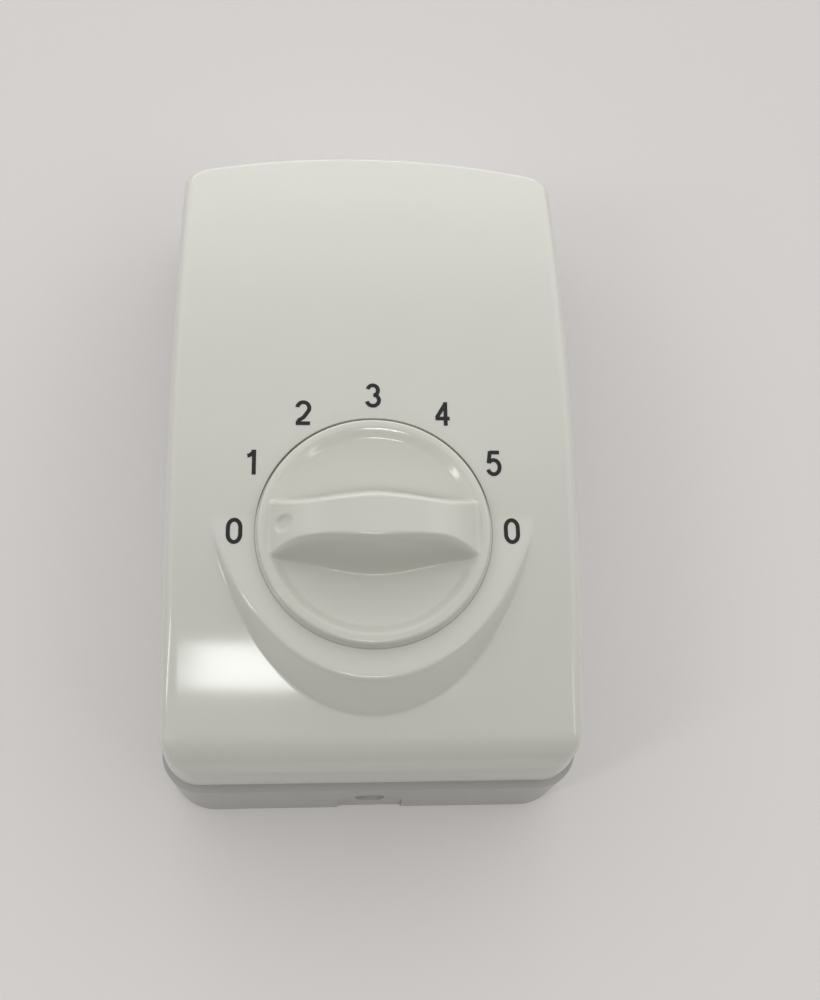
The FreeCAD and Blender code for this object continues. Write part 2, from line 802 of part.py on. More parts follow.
def contact_angles():
    """Seven positions, clockwise from the left, then the common contact at the bottom."""
    return [180 - position_angle * k for k in range(position_count)]


def contact_blade(inner, angle):
    blade = box(inner, contact_reach, -contact_width / 2, contact_width / 2, wafer_top,
                wafer_top + contact_thickness)
    eyelet = rod(0.6, wafer_top - 1, wafer_top + 1, contact_reach - 1.2, 0)
    return turned(blade.cut(eyelet), angle)


def switch_contacts():
    blades = [contact_blade(contact_inner, angle) for angle in contact_angles()]
    blades.append(contact_blade(common_inner, -90))
    return on_axis(Part.makeCompound(blades))


def lower_shaft_hole(z0, z1):
    """D-shaped hole that fits the lower end of the shaft."""
    hole = rod(shaft_radius + 0.03, z0, z1)
    return hole.common(box(-10, 10, -10, shaft_lower_flat + 0.03, z0, z1))


def rotor():
    disc = rod(rotor_radius, rotor_underside, rotor_top)
    hub = rod(rotor_hub_radius, rotor_underside, wheel_underside)
    hole = lower_shaft_hole(rotor_underside - 1, wheel_underside + 1)
    return on_axis(disc.fuse(hub).cut(hole).removeSplitter())


def rotor_contact():
    """Brass ring with one finger, on the rotor; the finger stands at the chosen position."""
    sweep = ring(contact_inner - 0.6, rotor_hub_radius + 0.1, rotor_top, rotor_contact_top)
    finger = box(-rotor_radius + 0.3, -contact_inner + 1.5, -1.6, 1.6, rotor_top, rotor_contact_top)
    return on_axis(sweep.fuse(finger).removeSplitter())


def detent_wheel():
    wheel = rod(detent_wheel_radius, wheel_underside, wheel_top)
    notch = rod(detent_notch_radius, wheel_underside - 1, wheel_top + 1, detent_notch_circle, 0)
    notches = [turned(notch, position_angle * k) for k in range(round(360 / position_angle))]
    wheel = wheel.cut(union(notches)).cut(lower_shaft_hole(wheel_underside - 1, wheel_top + 1))
    return on_axis(wheel)


def detent_spring():
    """Leaf with a rounded nose in one notch of the wheel and ends hooked round the tabs."""
    z0, z1 = wheel_underside + 0.1, wheel_top - 0.1
    y0, y1 = detent_leaf_y, detent_leaf_y + detent_leaf_thickness
    end = detent_leaf_half_length + detent_leaf_thickness
    leaf = box(-end, end, y0, y1, z0, z1)
    hooks_made = [box(-end, -end + detent_leaf_thickness, y0, y1 + 1.0, z0, z1),
                  box(end - detent_leaf_thickness, end, y0, y1 + 1.0, z0, z1)]
    nose_y = detent_notch_circle
    nose = ring(detent_nose_radius, detent_nose_radius - detent_leaf_thickness, z0, z1, 0, nose_y)
    cheeks = [box(side * detent_nose_radius - (detent_leaf_thickness if side > 0 else 0),
                  side * detent_nose_radius + (detent_leaf_thickness if side < 0 else 0),
                  nose_y, y0 + 0.1, z0, z1) for side in (-1, 1)]
    nose = nose.common(box(-5, 5, 0, nose_y, z0, z1))
    opening = box(-detent_nose_radius + detent_leaf_thickness, detent_nose_radius - detent_leaf_thickness,
                  y0 - 0.1, y1 + 0.1, z0 - 1, z1 + 1)
    spring = union([leaf.cut(opening)] + hooks_made + [nose] + cheeks)
    return on_axis(spring.removeSplitter())


def transformer_core():
    """Stack of laminations: an outer frame and a centre leg with two windows."""
    y0 = core_centre_y - core_length / 2
    core = box(-core_width / 2, core_width / 2, y0, y0 + core_length,
               core_underside, core_underside + core_stack)
    cuts = []
    for side in (-1, 1):
        x0, x1 = sorted((side * core_leg / 2, side * (core_leg / 2 + window_width)))
        cuts.append(box(x0, x1, core_centre_y - window_length / 2, core_centre_y + window_length / 2,
                        core_underside - 1, core_underside + core_stack + 1))
    cuts += [rod(core_screw_radius + 0.1, core_underside - 1, core_underside + core_stack + 1, x, y)
             for x, y in core_hole_places()]
    return core.cut(union(cuts))


def rounded_tube(outer_x, outer_z, inner_x, inner_z, half, corner):
    """Tube of rounded rectangular section along Y, about the centre leg."""
    outer = box(-outer_x, outer_x, core_centre_y - half, core_centre_y + half,
                core_mid_z - outer_z, core_mid_z + outer_z)
    along = [edge for edge in outer.Edges if abs(edge.tangentAt(edge.FirstParameter).y) > 0.9]
    outer = outer.makeFillet(corner, along)
    return outer.cut(box(-inner_x, inner_x, core_centre_y - half - 1, core_centre_y + half + 1,
                         core_mid_z - inner_z, core_mid_z + inner_z))


def bobbin_sizes():
    inner_x = core_leg / 2 + bobbin_clearance
    inner_z = core_stack / 2 + bobbin_clearance
    half = window_length / 2 - bobbin_clearance
    return inner_x, inner_z, half


def transformer_bobbin():
    inner_x, inner_z, half = bobbin_sizes()
    tube = rounded_tube(inner_x + bobbin_wall, inner_z + bobbin_wall, inner_x, inner_z, half, 0.8)
    flange_x = core_leg / 2 + window_width - 0.1
    flange_z = inner_z + bobbin_wall + winding_build + 0.3
    flanges = []
    for side in (-1, 1):
        plate = rounded_tube(flange_x, flange_z, inner_x, inner_z, bobbin_flange / 2, 2.0)
        plate.translate(Vector(0, side * (half - bobbin_flange / 2), 0))
        flanges.append(plate)
    return union([tube] + flanges).removeSplitter()


def transformer_winding():
    inner_x, inner_z, half = bobbin_sizes()
    x, z = inner_x + bobbin_wall, inner_z + bobbin_wall
    return rounded_tube(x + winding_build, z + winding_build, x + 0.02, z + 0.02,
                        half - bobbin_flange - 0.05, 5.0)


def transformer_screws():
    screws = []
    top = core_underside + core_stack
    for x, y in core_hole_places():
        head = rod(core_screw_head, top, top + core_screw_head_height, x, y)
        shank = rod(core_screw_radius, floor_thickness + 2.5, top, x, y)
        slot = box(x - core_screw_head, x + core_screw_head, y - 0.5, y + 0.5,
                   top + core_screw_head_height - 1.0, top + core_screw_head_height + 1)
        screws.append(head.fuse(shank).cut(slot))
    return Part.makeCompound(screws)


def terminal_places():
    first = -(terminal_count - 1) * terminal_pitch / 2
    return [first + terminal_pitch * k for k in range(terminal_count)]


def terminal_block():
    """Moulded block: one pocket along Y and one screw well from above for each cage."""
    foot = floor_thickness + plinth_height
    y0, y1 = terminal_centre_y - terminal_length / 2, terminal_centre_y + terminal_length / 2
    half = terminal_count * terminal_pitch / 2 + 1
    block = box(-half, half, y0, y1, foot, foot + terminal_height)
    cuts = [rod(block_screw_radius + 0.1, foot - 1, foot + terminal_height, 0, terminal_centre_y)]
    for x in terminal_places():
        w = cage_width / 2 + cage_clearance
        low = foot + cage_lift
        cuts.append(box(x - w, x + w, y0 - 1, y1 + 1, low, low + cage_height + 0.1))
        cuts.append(rod(terminal_well_radius, low, foot + terminal_height + 1, x, terminal_centre_y))
    return block.cut(union(cuts))


def cage_levels():
    foot = floor_thickness + plinth_height + cage_lift
    return foot, foot + cage_height


def terminal_cages():
    z0, z1 = cage_levels()
    cages = []
    for x in terminal_places():
        cage = box(x - cage_width / 2, x + cage_width / 2, terminal_centre_y - terminal_length / 2 + 1,
                   terminal_centre_y + terminal_length / 2 - 1, z0, z1)
        start = Vector(x, terminal_centre_y - terminal_length / 2 - 1, z0 + 2.3)
        bore = Part.makeCylinder(cage_hole_radius, terminal_length + 2, start, Vector(0, 1, 0))
        thread = rod(terminal_screw_radius + 0.03, z0 + 2, z1 + 1, x, terminal_centre_y)
        cages.append(cage.cut(bore).cut(thread))
    return Part.makeCompound(cages)


def terminal_screws():
    z0, z1 = cage_levels()
    screws = []
    for x in terminal_places():
        head = rod(terminal_head_radius, z1 + 1.0, z1 + 1.0 + terminal_head_height, x, terminal_centre_y)
        shank = rod(terminal_screw_radius, z0 + 3.5, z1 + 1.0, x, terminal_centre_y)
        slot = box(x - terminal_head_radius, x + terminal_head_radius, terminal_centre_y - 0.35,
                   terminal_centre_y + 0.35, z1 + terminal_head_height + 0.2, z1 + terminal_head_height + 2)
        screws.append(head.fuse(shank).cut(slot))
    return Part.makeCompound(screws)


def terminal_block_screw():
    top = floor_thickness + plinth_height + terminal_height
    head = rod(block_head_radius, top, top + block_head_height, 0, terminal_centre_y)
    shank = rod(block_screw_radius, 1.6, top, 0, terminal_centre_y)
    slot = box(-block_head_radius, block_head_radius, terminal_centre_y - 0.4, terminal_centre_y + 0.4,
               top + block_head_height - 0.9, top + block_head_height + 1)
    return head.fuse(shank).cut(slot)


def lead(points):
    """Round wire through the points: straight runs joined by tangent arcs."""
    route = [Vector(*p) for p in points]
    edges = []
    radii = []
    start = route[0]
    for before, corner, after in zip(route, route[1:], route[2:]):
        into, out = corner - before, after - corner
        cut = 0.45 * min(into.Length, out.Length)
        turn_in = corner - into.normalize() * cut
        turn_out = corner + out.normalize() * cut
        half_turn = into.getAngle(out) / 2
        bend = cut / math.tan(half_turn)
        radii.append(round(bend, 1))
        towards = (out - into).normalize()
        middle = corner + towards * (bend / math.cos(half_turn) - bend)
        edges.append(Part.LineSegment(start, turn_in).toShape())
        edges.append(Part.Arc(turn_in, middle, turn_out).toShape())
        start = turn_out
    edges.append(Part.LineSegment(start, route[-1]).toShape())
    print("lead bend radii mm", radii)
    path = Part.Wire(edges)
    section = Part.Wire([Part.makeCircle(lead_radius, route[0], route[1] - route[0])])
    return path.makePipeShell([section], True, False)


def lug_end(angle, reach):
    a = math.radians(angle)
    return (reach * math.cos(a), knob_axis_y + reach * math.sin(a))


def tap_leads():
    """Five leads from the upper contacts to the winding's near flange."""
    flange_y = core_centre_y - window_length / 2 + bobbin_clearance
    level = wafer_top + contact_thickness / 2
    over = core_underside + core_stack + 3.4
    before_core = core_near_y - lead_before_core
    leads = []
    for k, angle in enumerate(contact_angles()[1:-1]):
        end_x = (k - 2) * 5.0
        x0, y0 = lug_end(angle, contact_reach)
        x1, y1 = lug_end(angle, contact_reach + 4.0)
        leads.append(lead([(x0, y0, level), (x1, y1, level),
                           ((x1 + 2 * end_x) / 3, (y1 + before_core) / 2, over - 1.5),
                           (end_x, before_core + 2.5, over), (end_x, flange_y, over)]))
    return Part.makeCompound(leads)


def line_leads():
    """Supply lead to the common contact and two leads round the switch to the winding."""
    face_y = terminal_face_y
    z = cage_levels()[0] + 2.3
    xs = terminal_places()
    common_y = knob_axis_y - contact_reach
    flange_y = core_centre_y - window_length / 2 + bobbin_clearance
    below = wafer_top
    before_core = core_near_y - lead_before_core
    supply = lead([(0, common_y + 1.0, below), (0, common_y + 1.0, below - 5.0),
                   (-6.0, common_y + 1.6, below - 9.0), (xs[0], common_y + 4.5, z), (xs[0], face_y - 1, z)])
    long_leads = []
    for k, x in enumerate(xs[2:]):
        far = 23.0 + 4.0 * k
        low = 5.6
        long_leads.append(lead([(x, face_y - 1, z), (x, face_y + 3.5, z), (x + 5.5, face_y + 8.0, low + 1.5),
                                (far, face_y + 17.0, low), (far - 1.5, face_y + 36.0, low + 0.3),
                                (far - 8.0, before_core - 6.0 - 3.0 * k, low),
                                (far - 13.0, before_core + 1.5, low + 0.4),
                                (far - 13.0, flange_y, low + 0.4)]))
    return Part.makeCompound([supply] + long_leads)


def stroke(points):
    """Flat band of the numeral's stroke width along straight pieces, with round ends."""
    half = numeral_stroke / 2
    pieces = []
    for (x0, y0), (x1, y1) in zip(points, points[1:]):
        along = Vector(x1 - x0, y1 - y0, 0)
        side = Vector(-along.y, along.x, 0).normalize() * half
        a, b = Vector(x0, y0, 0), Vector(x1, y1, 0)
        pieces.append(Part.Face(Part.makePolygon([a + side, b + side, b - side, a - side, a + side])))
    for x, y in points:
        pieces.append(Part.Face(Part.Wire([Part.makeCircle(half, Vector(x, y, 0))])))
    return union(pieces)


def arc_points(cx, cy, rx, ry, start, end, steps=10):
    return [(cx + rx * math.cos(math.radians(start + (end - start) * k / steps)),
             cy + ry * math.sin(math.radians(start + (end - start) * k / steps))) for k in range(steps + 1)]


def glyph(digit):
    """Centre line of a numeral, in units of its height, about its own centre."""
    if digit == 0:
        return [arc_points(0, 0.15, 0.225, 0.285, 0, 180) + arc_points(0, -0.15, 0.225, 0.285, 180, 360)
                + [(0.225, 0.15)]]
    if digit == 1:
        return [[(0.06, -0.44), (0.06, 0.44)], [(0.06, 0.44), (0.02, 0.3), (-0.13, 0.24)]]
    if digit == 2:
        return [arc_points(0, 0.2, 0.22, 0.235, 165, -30) + [(-0.2, -0.3), (-0.22, -0.435), (0.23, -0.435)]]
    if digit == 3:
        return [arc_points(-0.01, 0.215, 0.2, 0.215, 160, -90),
                arc_points(-0.01, -0.215, 0.225, 0.22, 90, -165)]
    if digit == 4:
        return [[(0.1, -0.44), (0.1, 0.43), (-0.23, -0.19), (0.25, -0.19)]]
    return [[(0.2, 0.435), (-0.13, 0.435), (-0.19, 0.0)] + arc_points(0.0, -0.155, 0.225, 0.28, 140, -155)]


def dial_numerals():
    """Ink of the numerals, a thin layer on the arched front and on the flat seat."""
    slab = arch_block(-ink_thickness).fuse(seat_block(0.0, -ink_thickness))
    layer = slab.cut(arch_block(0.0, -10.0).fuse(seat_block()))
    made = []
    for k, digit in enumerate([0, 1, 2, 3, 4, 5, 0]):
        angle = math.radians(180 - position_angle * k)
        reach = numeral_circle + numeral_spread * math.sin(angle)
        x, y = reach * math.cos(angle), knob_axis_y + reach * math.sin(angle)
        for line in glyph(digit):
            band = stroke([(px * numeral_height, py * numeral_height) for px, py in line])
            band.translate(Vector(x, y, seat_level - 5))
            made.append(band.extrude(Vector(0, 0, 12)))
    return union(made).common(layer)


def main():
    outside = case_outside()
    pieces = {
        "front_cover": front_cover(outside),
        "rear_base": rear_base(),
        "dial_numerals": dial_numerals(),
        "speed_knob": speed_knob(),
        "knob_spring_clip": knob_spring_clip(),
        "switch_shaft": switch_shaft(),
        "shaft_circlip": shaft_circlip(),
        "switch_bush": switch_bush(),
        "bush_washer": bush_washer(),
        "bush_nut": bush_nut(),
        "switch_front_plate": switch_front_plate(),
        "switch_spacers": switch_spacers(),
        "switch_screws": switch_screws(),
        "switch_wafer": switch_wafer(),
        "switch_contacts": switch_contacts(),
        "switch_rotor": rotor(),
        "rotor_contact": rotor_contact(),
        "detent_wheel": detent_wheel(),
        "detent_spring": detent_spring(),
        "transformer_core": transformer_core(),
        "transformer_bobbin": transformer_bobbin(),
        "transformer_winding": transformer_winding(),
        "transformer_screws": transformer_screws(),
        "terminal_block": terminal_block(),
        "terminal_cages": terminal_cages(),
        "terminal_screws": terminal_screws(),
        "terminal_block_screw": terminal_block_screw(),
        "cover_screw": cover_screw(),
        "tap_leads": tap_leads(),
        "line_leads": line_leads(),
    }
    os.makedirs("parts", exist_ok=True)
    for name, shape in pieces.items():
        shape.exportStep("parts/" + name + ".step")
        print(name, "solids", len(shape.Solids), "valid", shape.isValid(), "mm3", round(shape.Volume, 1))


main()
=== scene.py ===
import math
import bpy
import numpy as np
from mathutils import Matrix, Vector


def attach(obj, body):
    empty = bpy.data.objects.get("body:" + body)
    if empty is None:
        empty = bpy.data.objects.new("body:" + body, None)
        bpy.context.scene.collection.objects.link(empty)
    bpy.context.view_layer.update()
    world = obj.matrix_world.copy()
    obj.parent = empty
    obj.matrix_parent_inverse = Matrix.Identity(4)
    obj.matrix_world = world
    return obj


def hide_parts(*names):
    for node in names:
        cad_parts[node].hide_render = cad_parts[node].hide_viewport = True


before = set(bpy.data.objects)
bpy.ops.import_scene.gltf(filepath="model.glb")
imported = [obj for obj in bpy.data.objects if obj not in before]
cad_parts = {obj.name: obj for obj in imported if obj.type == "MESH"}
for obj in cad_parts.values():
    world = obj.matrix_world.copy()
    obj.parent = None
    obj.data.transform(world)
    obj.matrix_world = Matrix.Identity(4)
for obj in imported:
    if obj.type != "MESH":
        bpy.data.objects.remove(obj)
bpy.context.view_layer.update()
bpy.context.scene.view_settings.view_transform = "Standard"
print("frame loaded")

mm = 0.001  # metres in one millimetre


# sRGB hex colour turned to the linear values that a shader takes.
def linearColour(hexText):
    values = [int(hexText[i:i + 2], 16) / 255 for i in (1, 3, 5)]
    return [v / 12.92 if v <= 0.04045 else ((v + 0.055) / 1.055) ** 2.4 for v in values] + [1.0]


# One node. A setting goes to the socket of that name or number, or else to the node itself; a link brings in
# another node's output.
def addNode(tree, kind, settings=None, links=None):
    node = tree.nodes.new(kind)
    for key, value in (settings or {}).items():
        if isinstance(key, int) or key in node.inputs:
            node.inputs[key].default_value = value
        else:
            setattr(node, key, value)
    for socket, source in (links or {}).items():
        tree.links.new(source, node.inputs[socket])
    return node


# Larger of a and b, rounded where they differ by less than k: a parabola that stands k / 4 above them where
# they meet.
def roundedMax(a, b, k):
    h = np.clip(0.5 + 0.5 * (a - b) / k, 0, 1)
    return b + (a - b) * h + k * h * (1 - h)


# Smaller of a and b, rounded in the same way.
def roundedMin(a, b, k):
    return -roundedMax(-a, -b, k)


# Vectors brought to length 1: each is divided by its own length.
def unit(vectors):
    return vectors / np.linalg.norm(vectors, axis=-1, keepdims=True)


# Mesh object from points in millimetres and faces that list their points.
def meshObject(name, points, faces):
    mesh = bpy.data.meshes.new(name)
    mesh.from_pydata((np.asarray(points) * mm).tolist(), [], faces)
    mesh.validate()
    piece = bpy.data.objects.new(name, mesh)
    bpy.context.scene.collection.objects.link(piece)
    return piece


# Grid of points (rows, columns, 3) made a mesh of quads. Each row closes on itself. The last row runs on to the
# first, or each end row is drawn in to one point by a fan of triangles.
def gridObject(name, points, closeRows=False, startPole=None, endPole=None):
    rows, columns = points.shape[:2]
    index = np.arange(rows * columns).reshape(rows, columns)
    here = index if closeRows else index[:-1]
    ahead = np.roll(index, -1, 0) if closeRows else index[1:]
    quads = np.stack([here, np.roll(here, -1, 1), np.roll(ahead, -1, 1), ahead], axis=-1)
    faces = quads.reshape(-1, 4).tolist()
    verts = points.reshape(-1, 3)
    for pole, first, second in ((startPole, np.roll(index[0], -1), index[0]),
                                (endPole, index[-1], np.roll(index[-1], -1))):
        if pole is not None:
            faces += np.stack([first, second, np.full(columns, len(verts))], axis=-1).tolist()
            verts = np.vstack([verts, [pole]])
    piece = meshObject(name, verts, faces)
    piece.data.shade_smooth()
    return piece


# The piece's one material.
def dress(piece, material):
    piece.data.materials.clear()
    piece.data.materials.append(material)


# Noise scale for a pattern of the given size in millimetres: Object coordinates are in metres.
def noiseScale(size):
    return 1 / (size * mm)


# Empty material, its node tree and the Object coordinates in it.
def blankMaterial(name):
    material = bpy.data.materials.new(name)
    material.use_nodes = True
    tree = material.node_tree
    tree.nodes.clear()
    return material, tree, addNode(tree, "ShaderNodeTexCoord").outputs["Object"]


# Surface whose colour and roughness run between two values with the pattern, and which the relief dents.
def addSurface(tree, settings, pattern, relief, optics):
    tint = addNode(tree, "ShaderNodeMix", {"data_type": "RGBA", "A": linearColour(settings["shade"]),
                                           "B": linearColour(settings["colour"])}, {"Factor": pattern})
    rough = addNode(tree, "ShaderNodeMapRange",
                    {"To Min": settings["roughLow"], "To Max": settings["roughHigh"]}, {"Value": pattern})
    bump = addNode(tree, "ShaderNodeBump",
                   {"Strength": settings["bump"], "Distance": settings["bumpDepth"] * mm}, {"Height": relief})
    surface = addNode(tree, "ShaderNodeBsdfPrincipled", optics,
                      {"Base Color": tint.outputs["Result"], "Roughness": rough.outputs["Result"],
                       "Normal": bump.outputs["Normal"]})
    addNode(tree, "ShaderNodeOutputMaterial", None, {"Surface": surface.outputs["BSDF"]})


# Moulded plastic: slow clouds in colour and gloss from the melt's flow, the orange peel of the mould's surface
# with a finer grain on it, and light that goes a little way in where glow is above 0.
def mouldedPlastic(name, settings):
    material, tree, place = blankMaterial(name)
    cloud, peel, grain = [
        addNode(tree, "ShaderNodeTexNoise", {"Scale": noiseScale(settings[size]), "Detail": detail},
                {"Vector": place}).outputs["Fac"]
        for size, detail in (("cloudSize", 3.0), ("peelSize", 2.0), ("grainSize", 2.0))]
    relief = addNode(tree, "ShaderNodeMath", {"operation": "MULTIPLY_ADD", 1: settings["grainShare"]},
                     {0: grain, 2: peel})
    addSurface(tree, settings, cloud, relief.outputs["Value"],
               {"IOR": settings["ior"], "Subsurface Weight": settings["glow"],
                "Subsurface Scale": settings["glowDepth"] * mm, "Subsurface Radius": settings["glowTint"]})
    return material


# Worked metal: fine mottling in colour and gloss, drawn out into lines where stretch says so.
def workedMetal(name, settings):
    material, tree, place = blankMaterial(name)
    spread = addNode(tree, "ShaderNodeMapping", {"Scale": settings["stretch"]}, {"Vector": place})
    lines = addNode(tree, "ShaderNodeTexNoise", {"Scale": noiseScale(settings["lineSize"]), "Detail": 3.0},
                    {"Vector": spread.outputs["Vector"]}).outputs["Fac"]
    addSurface(tree, settings, lines, lines, {"Metallic": settings["metallic"]})
    return material


# ABS from a polished mould: warm white and glossy, with an orange peel that softens its reflections a little.
# Sizes and depths are in millimetres.
glossyAbs = {
    "colour": "#D5D5CC", "shade": "#D1D1C8", "cloudSize": 16.67, "peelSize": 2.381,
    "grainSize": 0.3846,  # finer on the real one; drawn as coarse as it needs to show
    "grainShare": 0.25, "bump": 0.07, "bumpDepth": 0.03, "roughLow": 0.09, "roughHigh": 0.13,
    "ior": 1.53, "glow": 0.08, "glowDepth": 4.0, "glowTint": (1.0, 0.9, 0.75),
}
coverAbs = mouldedPlastic("glossyMouldedAbs", glossyAbs)
# The knob's ABS is as glossy as the cover's, painted a touch darker as shade for its dish.
knobAbsPaintedShade = mouldedPlastic("knobAbsWithPaintedShade", {**glossyAbs, "colour": "#D2D2C9", "shade": "#CECEC5"})
# The base's ABS is the cover's plastic painted greyer as the shade it sits in under the cover; its unpolished
# mould gives a satin sheen in place of sharp reflections.
baseAbsPaintedShade = mouldedPlastic("baseAbsWithPaintedShade", {**glossyAbs, "colour": "#B2B2AD", "shade": "#AEAEA9",
                                            "roughLow": 0.26, "roughHigh": 0.34})
# Pad-printed ink: a thin black film that dries matt.
numeralInk = mouldedPlastic("padPrintedInk", {**glossyAbs, "colour": "#080809", "shade": "#050506",
                                              "roughLow": 0.5, "roughHigh": 0.6, "glow": 0.0})
print("plastics made")


# The case in millimetres and degrees: drafted walls, an arched front, a rolled bottom end.
case = {
    "width": 80.0, "length": 139.0, "depth": 42.0, "sideDraft": 2.4, "endDraft": 8.6,
    "rearCorner": 9.0, "frontCorner": 4.5, "leastCorner": 0.8, "topBow": 5.5,
    "archRadius": 180.0, "edgeRadius": 2.6, "wall": 2.2, "frontWall": 2.5, "skirtLevel": 20.1,
    "rollStart": 58.2, "rollRadius": 11.0, "rollEnd": 75.0,
    "bottomLean": 0.35, "bottomLeanRise": 0.093,  # lean at the skirt, and its growth with height
}
# The flat seat of the dial, an ellipse about the case's centre, and the well that the knob sits in.
seat = {
    "drop": 1.1, "halfWidth": 33.0, "halfLength": 49.6, "draft": 36.0,
    "topRound": 0.9, "footRound": 0.4, "footRoundLeast": 0.1, "footRoundRise": 1.2,
    "growLow": -25.0, "growHigh": 60.0, "growSteps": 25, "leastSlope": 1e-6,  # search for its growth
}
well = {"y": -22.5, "radius": 21.88, "depth": 7.0, "floor": 2.4, "wall": 2.5, "bushHole": 5.06,
        "edgeRound": 0.04}
seatLevel = case["depth"] - seat["drop"]
seatRunOut = math.tan(math.radians(seat["draft"]))  # how far its wall goes out for each unit that it falls


# Samples round the outline: the piece each lies on (bottom line, corner, side, corner, bowed end, corner, side,
# corner) and its share along that piece.
def outlineSamples(counts):
    piece = np.concatenate([np.full(n, k) for k, n in enumerate(counts)])
    share = np.concatenate([(np.arange(n) / n) for n in counts])
    return piece, share


# Outline at height z, set in by inset: a rectangle with drafted walls and round corners, whose top end is an arc
# through the bow's height; the bottom end leans in a little more with height. Each of its eight pieces is a
# straight line between its ends or an arc between its start and end angles.
def outline(samples, z, inset=0.0):
    piece, s = samples
    wide = case["width"] / 2 - z * math.tan(math.radians(case["sideDraft"]))
    w = wide - inset
    h = case["length"] / 2 - z * math.tan(math.radians(case["endDraft"])) - inset
    low = h - case["bottomLean"] - case["bottomLeanRise"] * np.maximum(z - case["skirtLevel"], 0)
    taper = (case["frontCorner"] - case["rearCorner"]) * z / case["depth"]
    r = np.maximum(case["rearCorner"] + taper - inset, case["leastCorner"])
    bow = (wide ** 2 + case["topBow"] ** 2) / (2 * case["topBow"]) - inset
    centreY = h - bow
    cornerX = w - r
    cornerY = centreY + np.sqrt((bow - r) ** 2 - cornerX ** 2)
    sideLow = -low + r
    turn = np.arctan2(cornerY - centreY, cornerX)
    lowRight, highRight = -np.pi / 2 + s * np.pi / 2, turn * s
    alongBow = turn + (np.pi - 2 * turn) * s
    highLeft, lowLeft = np.pi - turn + turn * s, np.pi + s * np.pi / 2
    onPiece = [piece == k for k in range(8)]
    x = np.select(onPiece, [
        (2 * s - 1) * cornerX, cornerX + r * np.cos(lowRight), w + 0 * s, cornerX + r * np.cos(highRight),
        bow * np.cos(alongBow), -cornerX + r * np.cos(highLeft), -w + 0 * s, -cornerX + r * np.cos(lowLeft)])
    y = np.select(onPiece, [
        -low + 0 * s, sideLow + r * np.sin(lowRight), sideLow + s * (cornerY - sideLow),
        cornerY + r * np.sin(highRight), centreY + bow * np.sin(alongBow), cornerY + r * np.sin(highLeft),
        cornerY + s * (sideLow - cornerY), sideLow + r * np.sin(lowLeft)])
    return x, y


# Lengthwise arch: a circle of the arch's radius about a line along X, offset inwards by drop. Past the roll's
# start at the bottom end, a smaller circle that touches the arch there takes over.
def archHeight(y, drop=0.0):
    big, small = case["archRadius"], case["rollRadius"]
    turn = math.asin(case["rollStart"] / big)
    rollY = -(big - small) * math.sin(turn)
    rollZ = case["depth"] - big + (big - small) * math.cos(turn)
    small = small - drop
    lowest = small * math.cos(math.radians(case["rollEnd"]))
    arch = case["depth"] - big + np.sqrt((big - drop) ** 2 - y ** 2)
    roll = rollZ + np.sqrt(np.maximum(small ** 2 - (y - rollY) ** 2, lowest ** 2))
    return np.where(y < -(big - drop) * math.sin(turn), roll, arch)


# How much both half axes of the seat's ellipse have to grow for it to pass through (x, y): Newton steps on the
# ellipse's equation.
def seatGrowth(x, y, inset=0.0):
    a, b = seat["halfWidth"] - inset, seat["halfLength"] - inset
    grow = np.full(np.shape(x), 0.0)
    for step in range(seat["growSteps"]):
        value = (x / (a + grow)) ** 2 + (y / (b + grow)) ** 2 - 1
        slope = -2 * (x ** 2 / (a + grow) ** 3 + y ** 2 / (b + grow) ** 3)
        grow = np.clip(grow - value / np.minimum(slope, -seat["leastSlope"]), seat["growLow"],
                       seat["growHigh"])
    return grow


# Front surface: the larger of the arch and the flat seat, whose wall falls away outside its ellipse at the
# seat's draft. Both corners of that wall are rounded, the foot less where the wall is low.
def frontHeight(x, y):
    arch = archHeight(y)
    wallHeight = seatLevel - seatGrowth(x, y) / seatRunOut
    plateau = roundedMin(np.full(np.shape(x), seatLevel), wallHeight, seat["topRound"])
    foot = np.clip((seatLevel - arch) * seat["footRoundRise"], seat["footRoundLeast"], seat["footRound"])
    return np.where(y < 0, roundedMax(arch, plateau, foot), arch)


# Distance from the well's centre to the seat's ellipse, grown by grow, in each direction: the positive root of
# the quadratic for a ray that meets the ellipse.
def rayToEllipse(dirX, dirY, grow):
    a, b = seat["halfWidth"] + grow, seat["halfLength"] + grow
    p = (dirX / a) ** 2 + (dirY / b) ** 2
    q = 2 * well["y"] * dirY / b ** 2
    c = (well["y"] / b) ** 2 - 1
    return (-q + np.sqrt(q * q - 4 * p * c)) / (2 * p)


